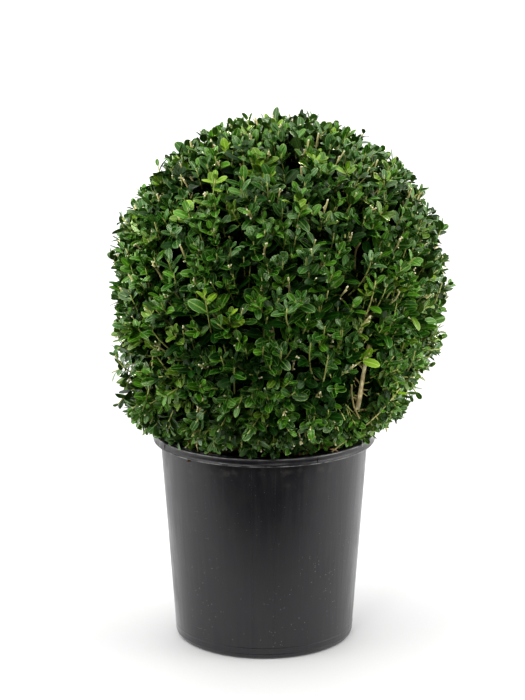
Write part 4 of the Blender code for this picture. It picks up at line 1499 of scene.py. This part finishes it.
def floor_material():
    material, g, shader = new_material("pale_floor")
    place = g.place()
    paper = g.blend(patches(g, place, 3.0), rgb(0.59, 0.59, 0.59), rgb(0.61, 0.61, 0.605))
    nearness = g.fade(g.axes(place)["Y"], FLOOR_DARK_FROM, FLOOR_BRIGHT_FROM)
    thrown_back = g.blend(nearness, rgb(0.02, 0.02, 0.02), rgb(0.5, 0.5, 0.5))
    seen = g.put("LightPath", {})["Is Camera Ray"]
    unseen = g.calc("SUBTRACT", 1.0, seen)
    g.give(shader, {
        "Base Color": g.blend(seen, thrown_back, paper),
        "Emission Strength": g.times(g.times(unseen, nearness), FLOOR_GLOW),
        "Emission Color": rgb(1, 1, 1),
        "Roughness": 0.7,
    })
    return material


def lay_floor():
    bm = bmesh.new()
    bmesh.ops.create_grid(bm, x_segments=1, y_segments=1, size=FLOOR_SIZE)
    floor = add_object("floor", to_mesh(bm, "floor"))
    floor.data.materials.append(floor_material())


lay_floor()

# %% [markdown]
# ## Lamps
# Three suns give the broad light: one high from the left, a harder one from in front that makes the
# leaves sparkle, and a soft one low from the right. Five spots reach only the plant: a low one on
# the outer bough, two warm ones from behind on the ball's edges, and one each on its left and right.

# %% Surround and lamps
SURROUND_TOP, SURROUND_SIDES, SURROUND_FRONT = 1.58, 1.75, 0.01
SUN_LAMPS = (  # name, direction that the light travels, strength, angle across the source
    ("key_light", Vector((0.9, 0.45, -0.76)), 0.7, 50),
    ("sparkle_light", Vector((0.32, 0.75, -0.62)), 0.46, 12),
    ("fill_light", Vector((-1.00, 0.1, -0.36)), 0.9, 40),
)
WHITE, WARM = (1, 1, 1), (1.0, 0.86, 0.6)
SPOT_SIZE = 0.12
SPOT_LAMPS = (  # name, place, aim, power, cone in degrees, softness of its edge, tint
    ("low_lamp", Vector((0.4, -1.6, 0.62)), Vector((0.14, -0.1, 0.315)), 58, 12, 1.0, WHITE),
    ("left_edge_lamp", Vector((-1.0, 1.75, 1.36)), Vector((0.0, 0.0, 0.46)), 120, 11, 0.5, WARM),
    ("right_edge_lamp", Vector((1.0, 1.75, 1.36)), Vector((0.0, 0.0, 0.45)), 130, 11, 0.5, WARM),
    ("left_lamp", Vector((-1.3, -1.2, 1.36)), Vector((-0.12, -0.02, 0.46)), 60, 14, 1.0, WHITE),
    ("right_lamp", Vector((1.5, -0.9, 0.8)), Vector((0.14, -0.02, 0.4)), 36, 12, 1.0, WHITE),
)


def light_surround():
    world = bpy.data.worlds.new("studio")
    bpy.context.scene.world = world
    world.use_nodes = True
    g = Graph(world.node_tree)
    axes = g.axes(g.put("TexCoord", {})["Generated"])
    level = g.fade(axes["Y"], -0.98, -0.1, SURROUND_FRONT, SURROUND_SIDES)
    level = g.calc("MAXIMUM", level, g.fade(axes["Z"], 0.4, 0.9, 0.0, SURROUND_TOP))
    seen = g.put("LightPath", {})["Is Camera Ray"]
    strength = g.calc("MAXIMUM", level, seen)
    g.give(g.tree.nodes["Background"].inputs, {"Color": rgb(1, 1, 1), "Strength": strength})


def hang_lamp(kind, name, way, place=ORIGIN, **light):
    lamp = add_object(name, bpy.data.lights.new(name, kind))
    lamp.location = place
    lamp.rotation_euler = way.to_track_quat("-Z", "Y").to_euler()
    for setting, value in light.items():
        setattr(lamp.data, setting, value)


light_surround()
for name, way, strength, degrees in SUN_LAMPS:
    hang_lamp("SUN", name, way, energy=strength, angle=radians(degrees))
for name, place, aim, power, cone, softness, tint in SPOT_LAMPS:
    hang_lamp("SPOT", name, aim - place, place, energy=power, spot_size=radians(cone),
              spot_blend=softness, color=tint, shadow_soft_size=SPOT_SIZE)
bpy.context.scene.view_settings.view_transform = "Standard"
bpy.context.scene.view_settings.look = "Medium High Contrast"
print("lamps:", [lamp[0] for lamp in SUN_LAMPS + SPOT_LAMPS])
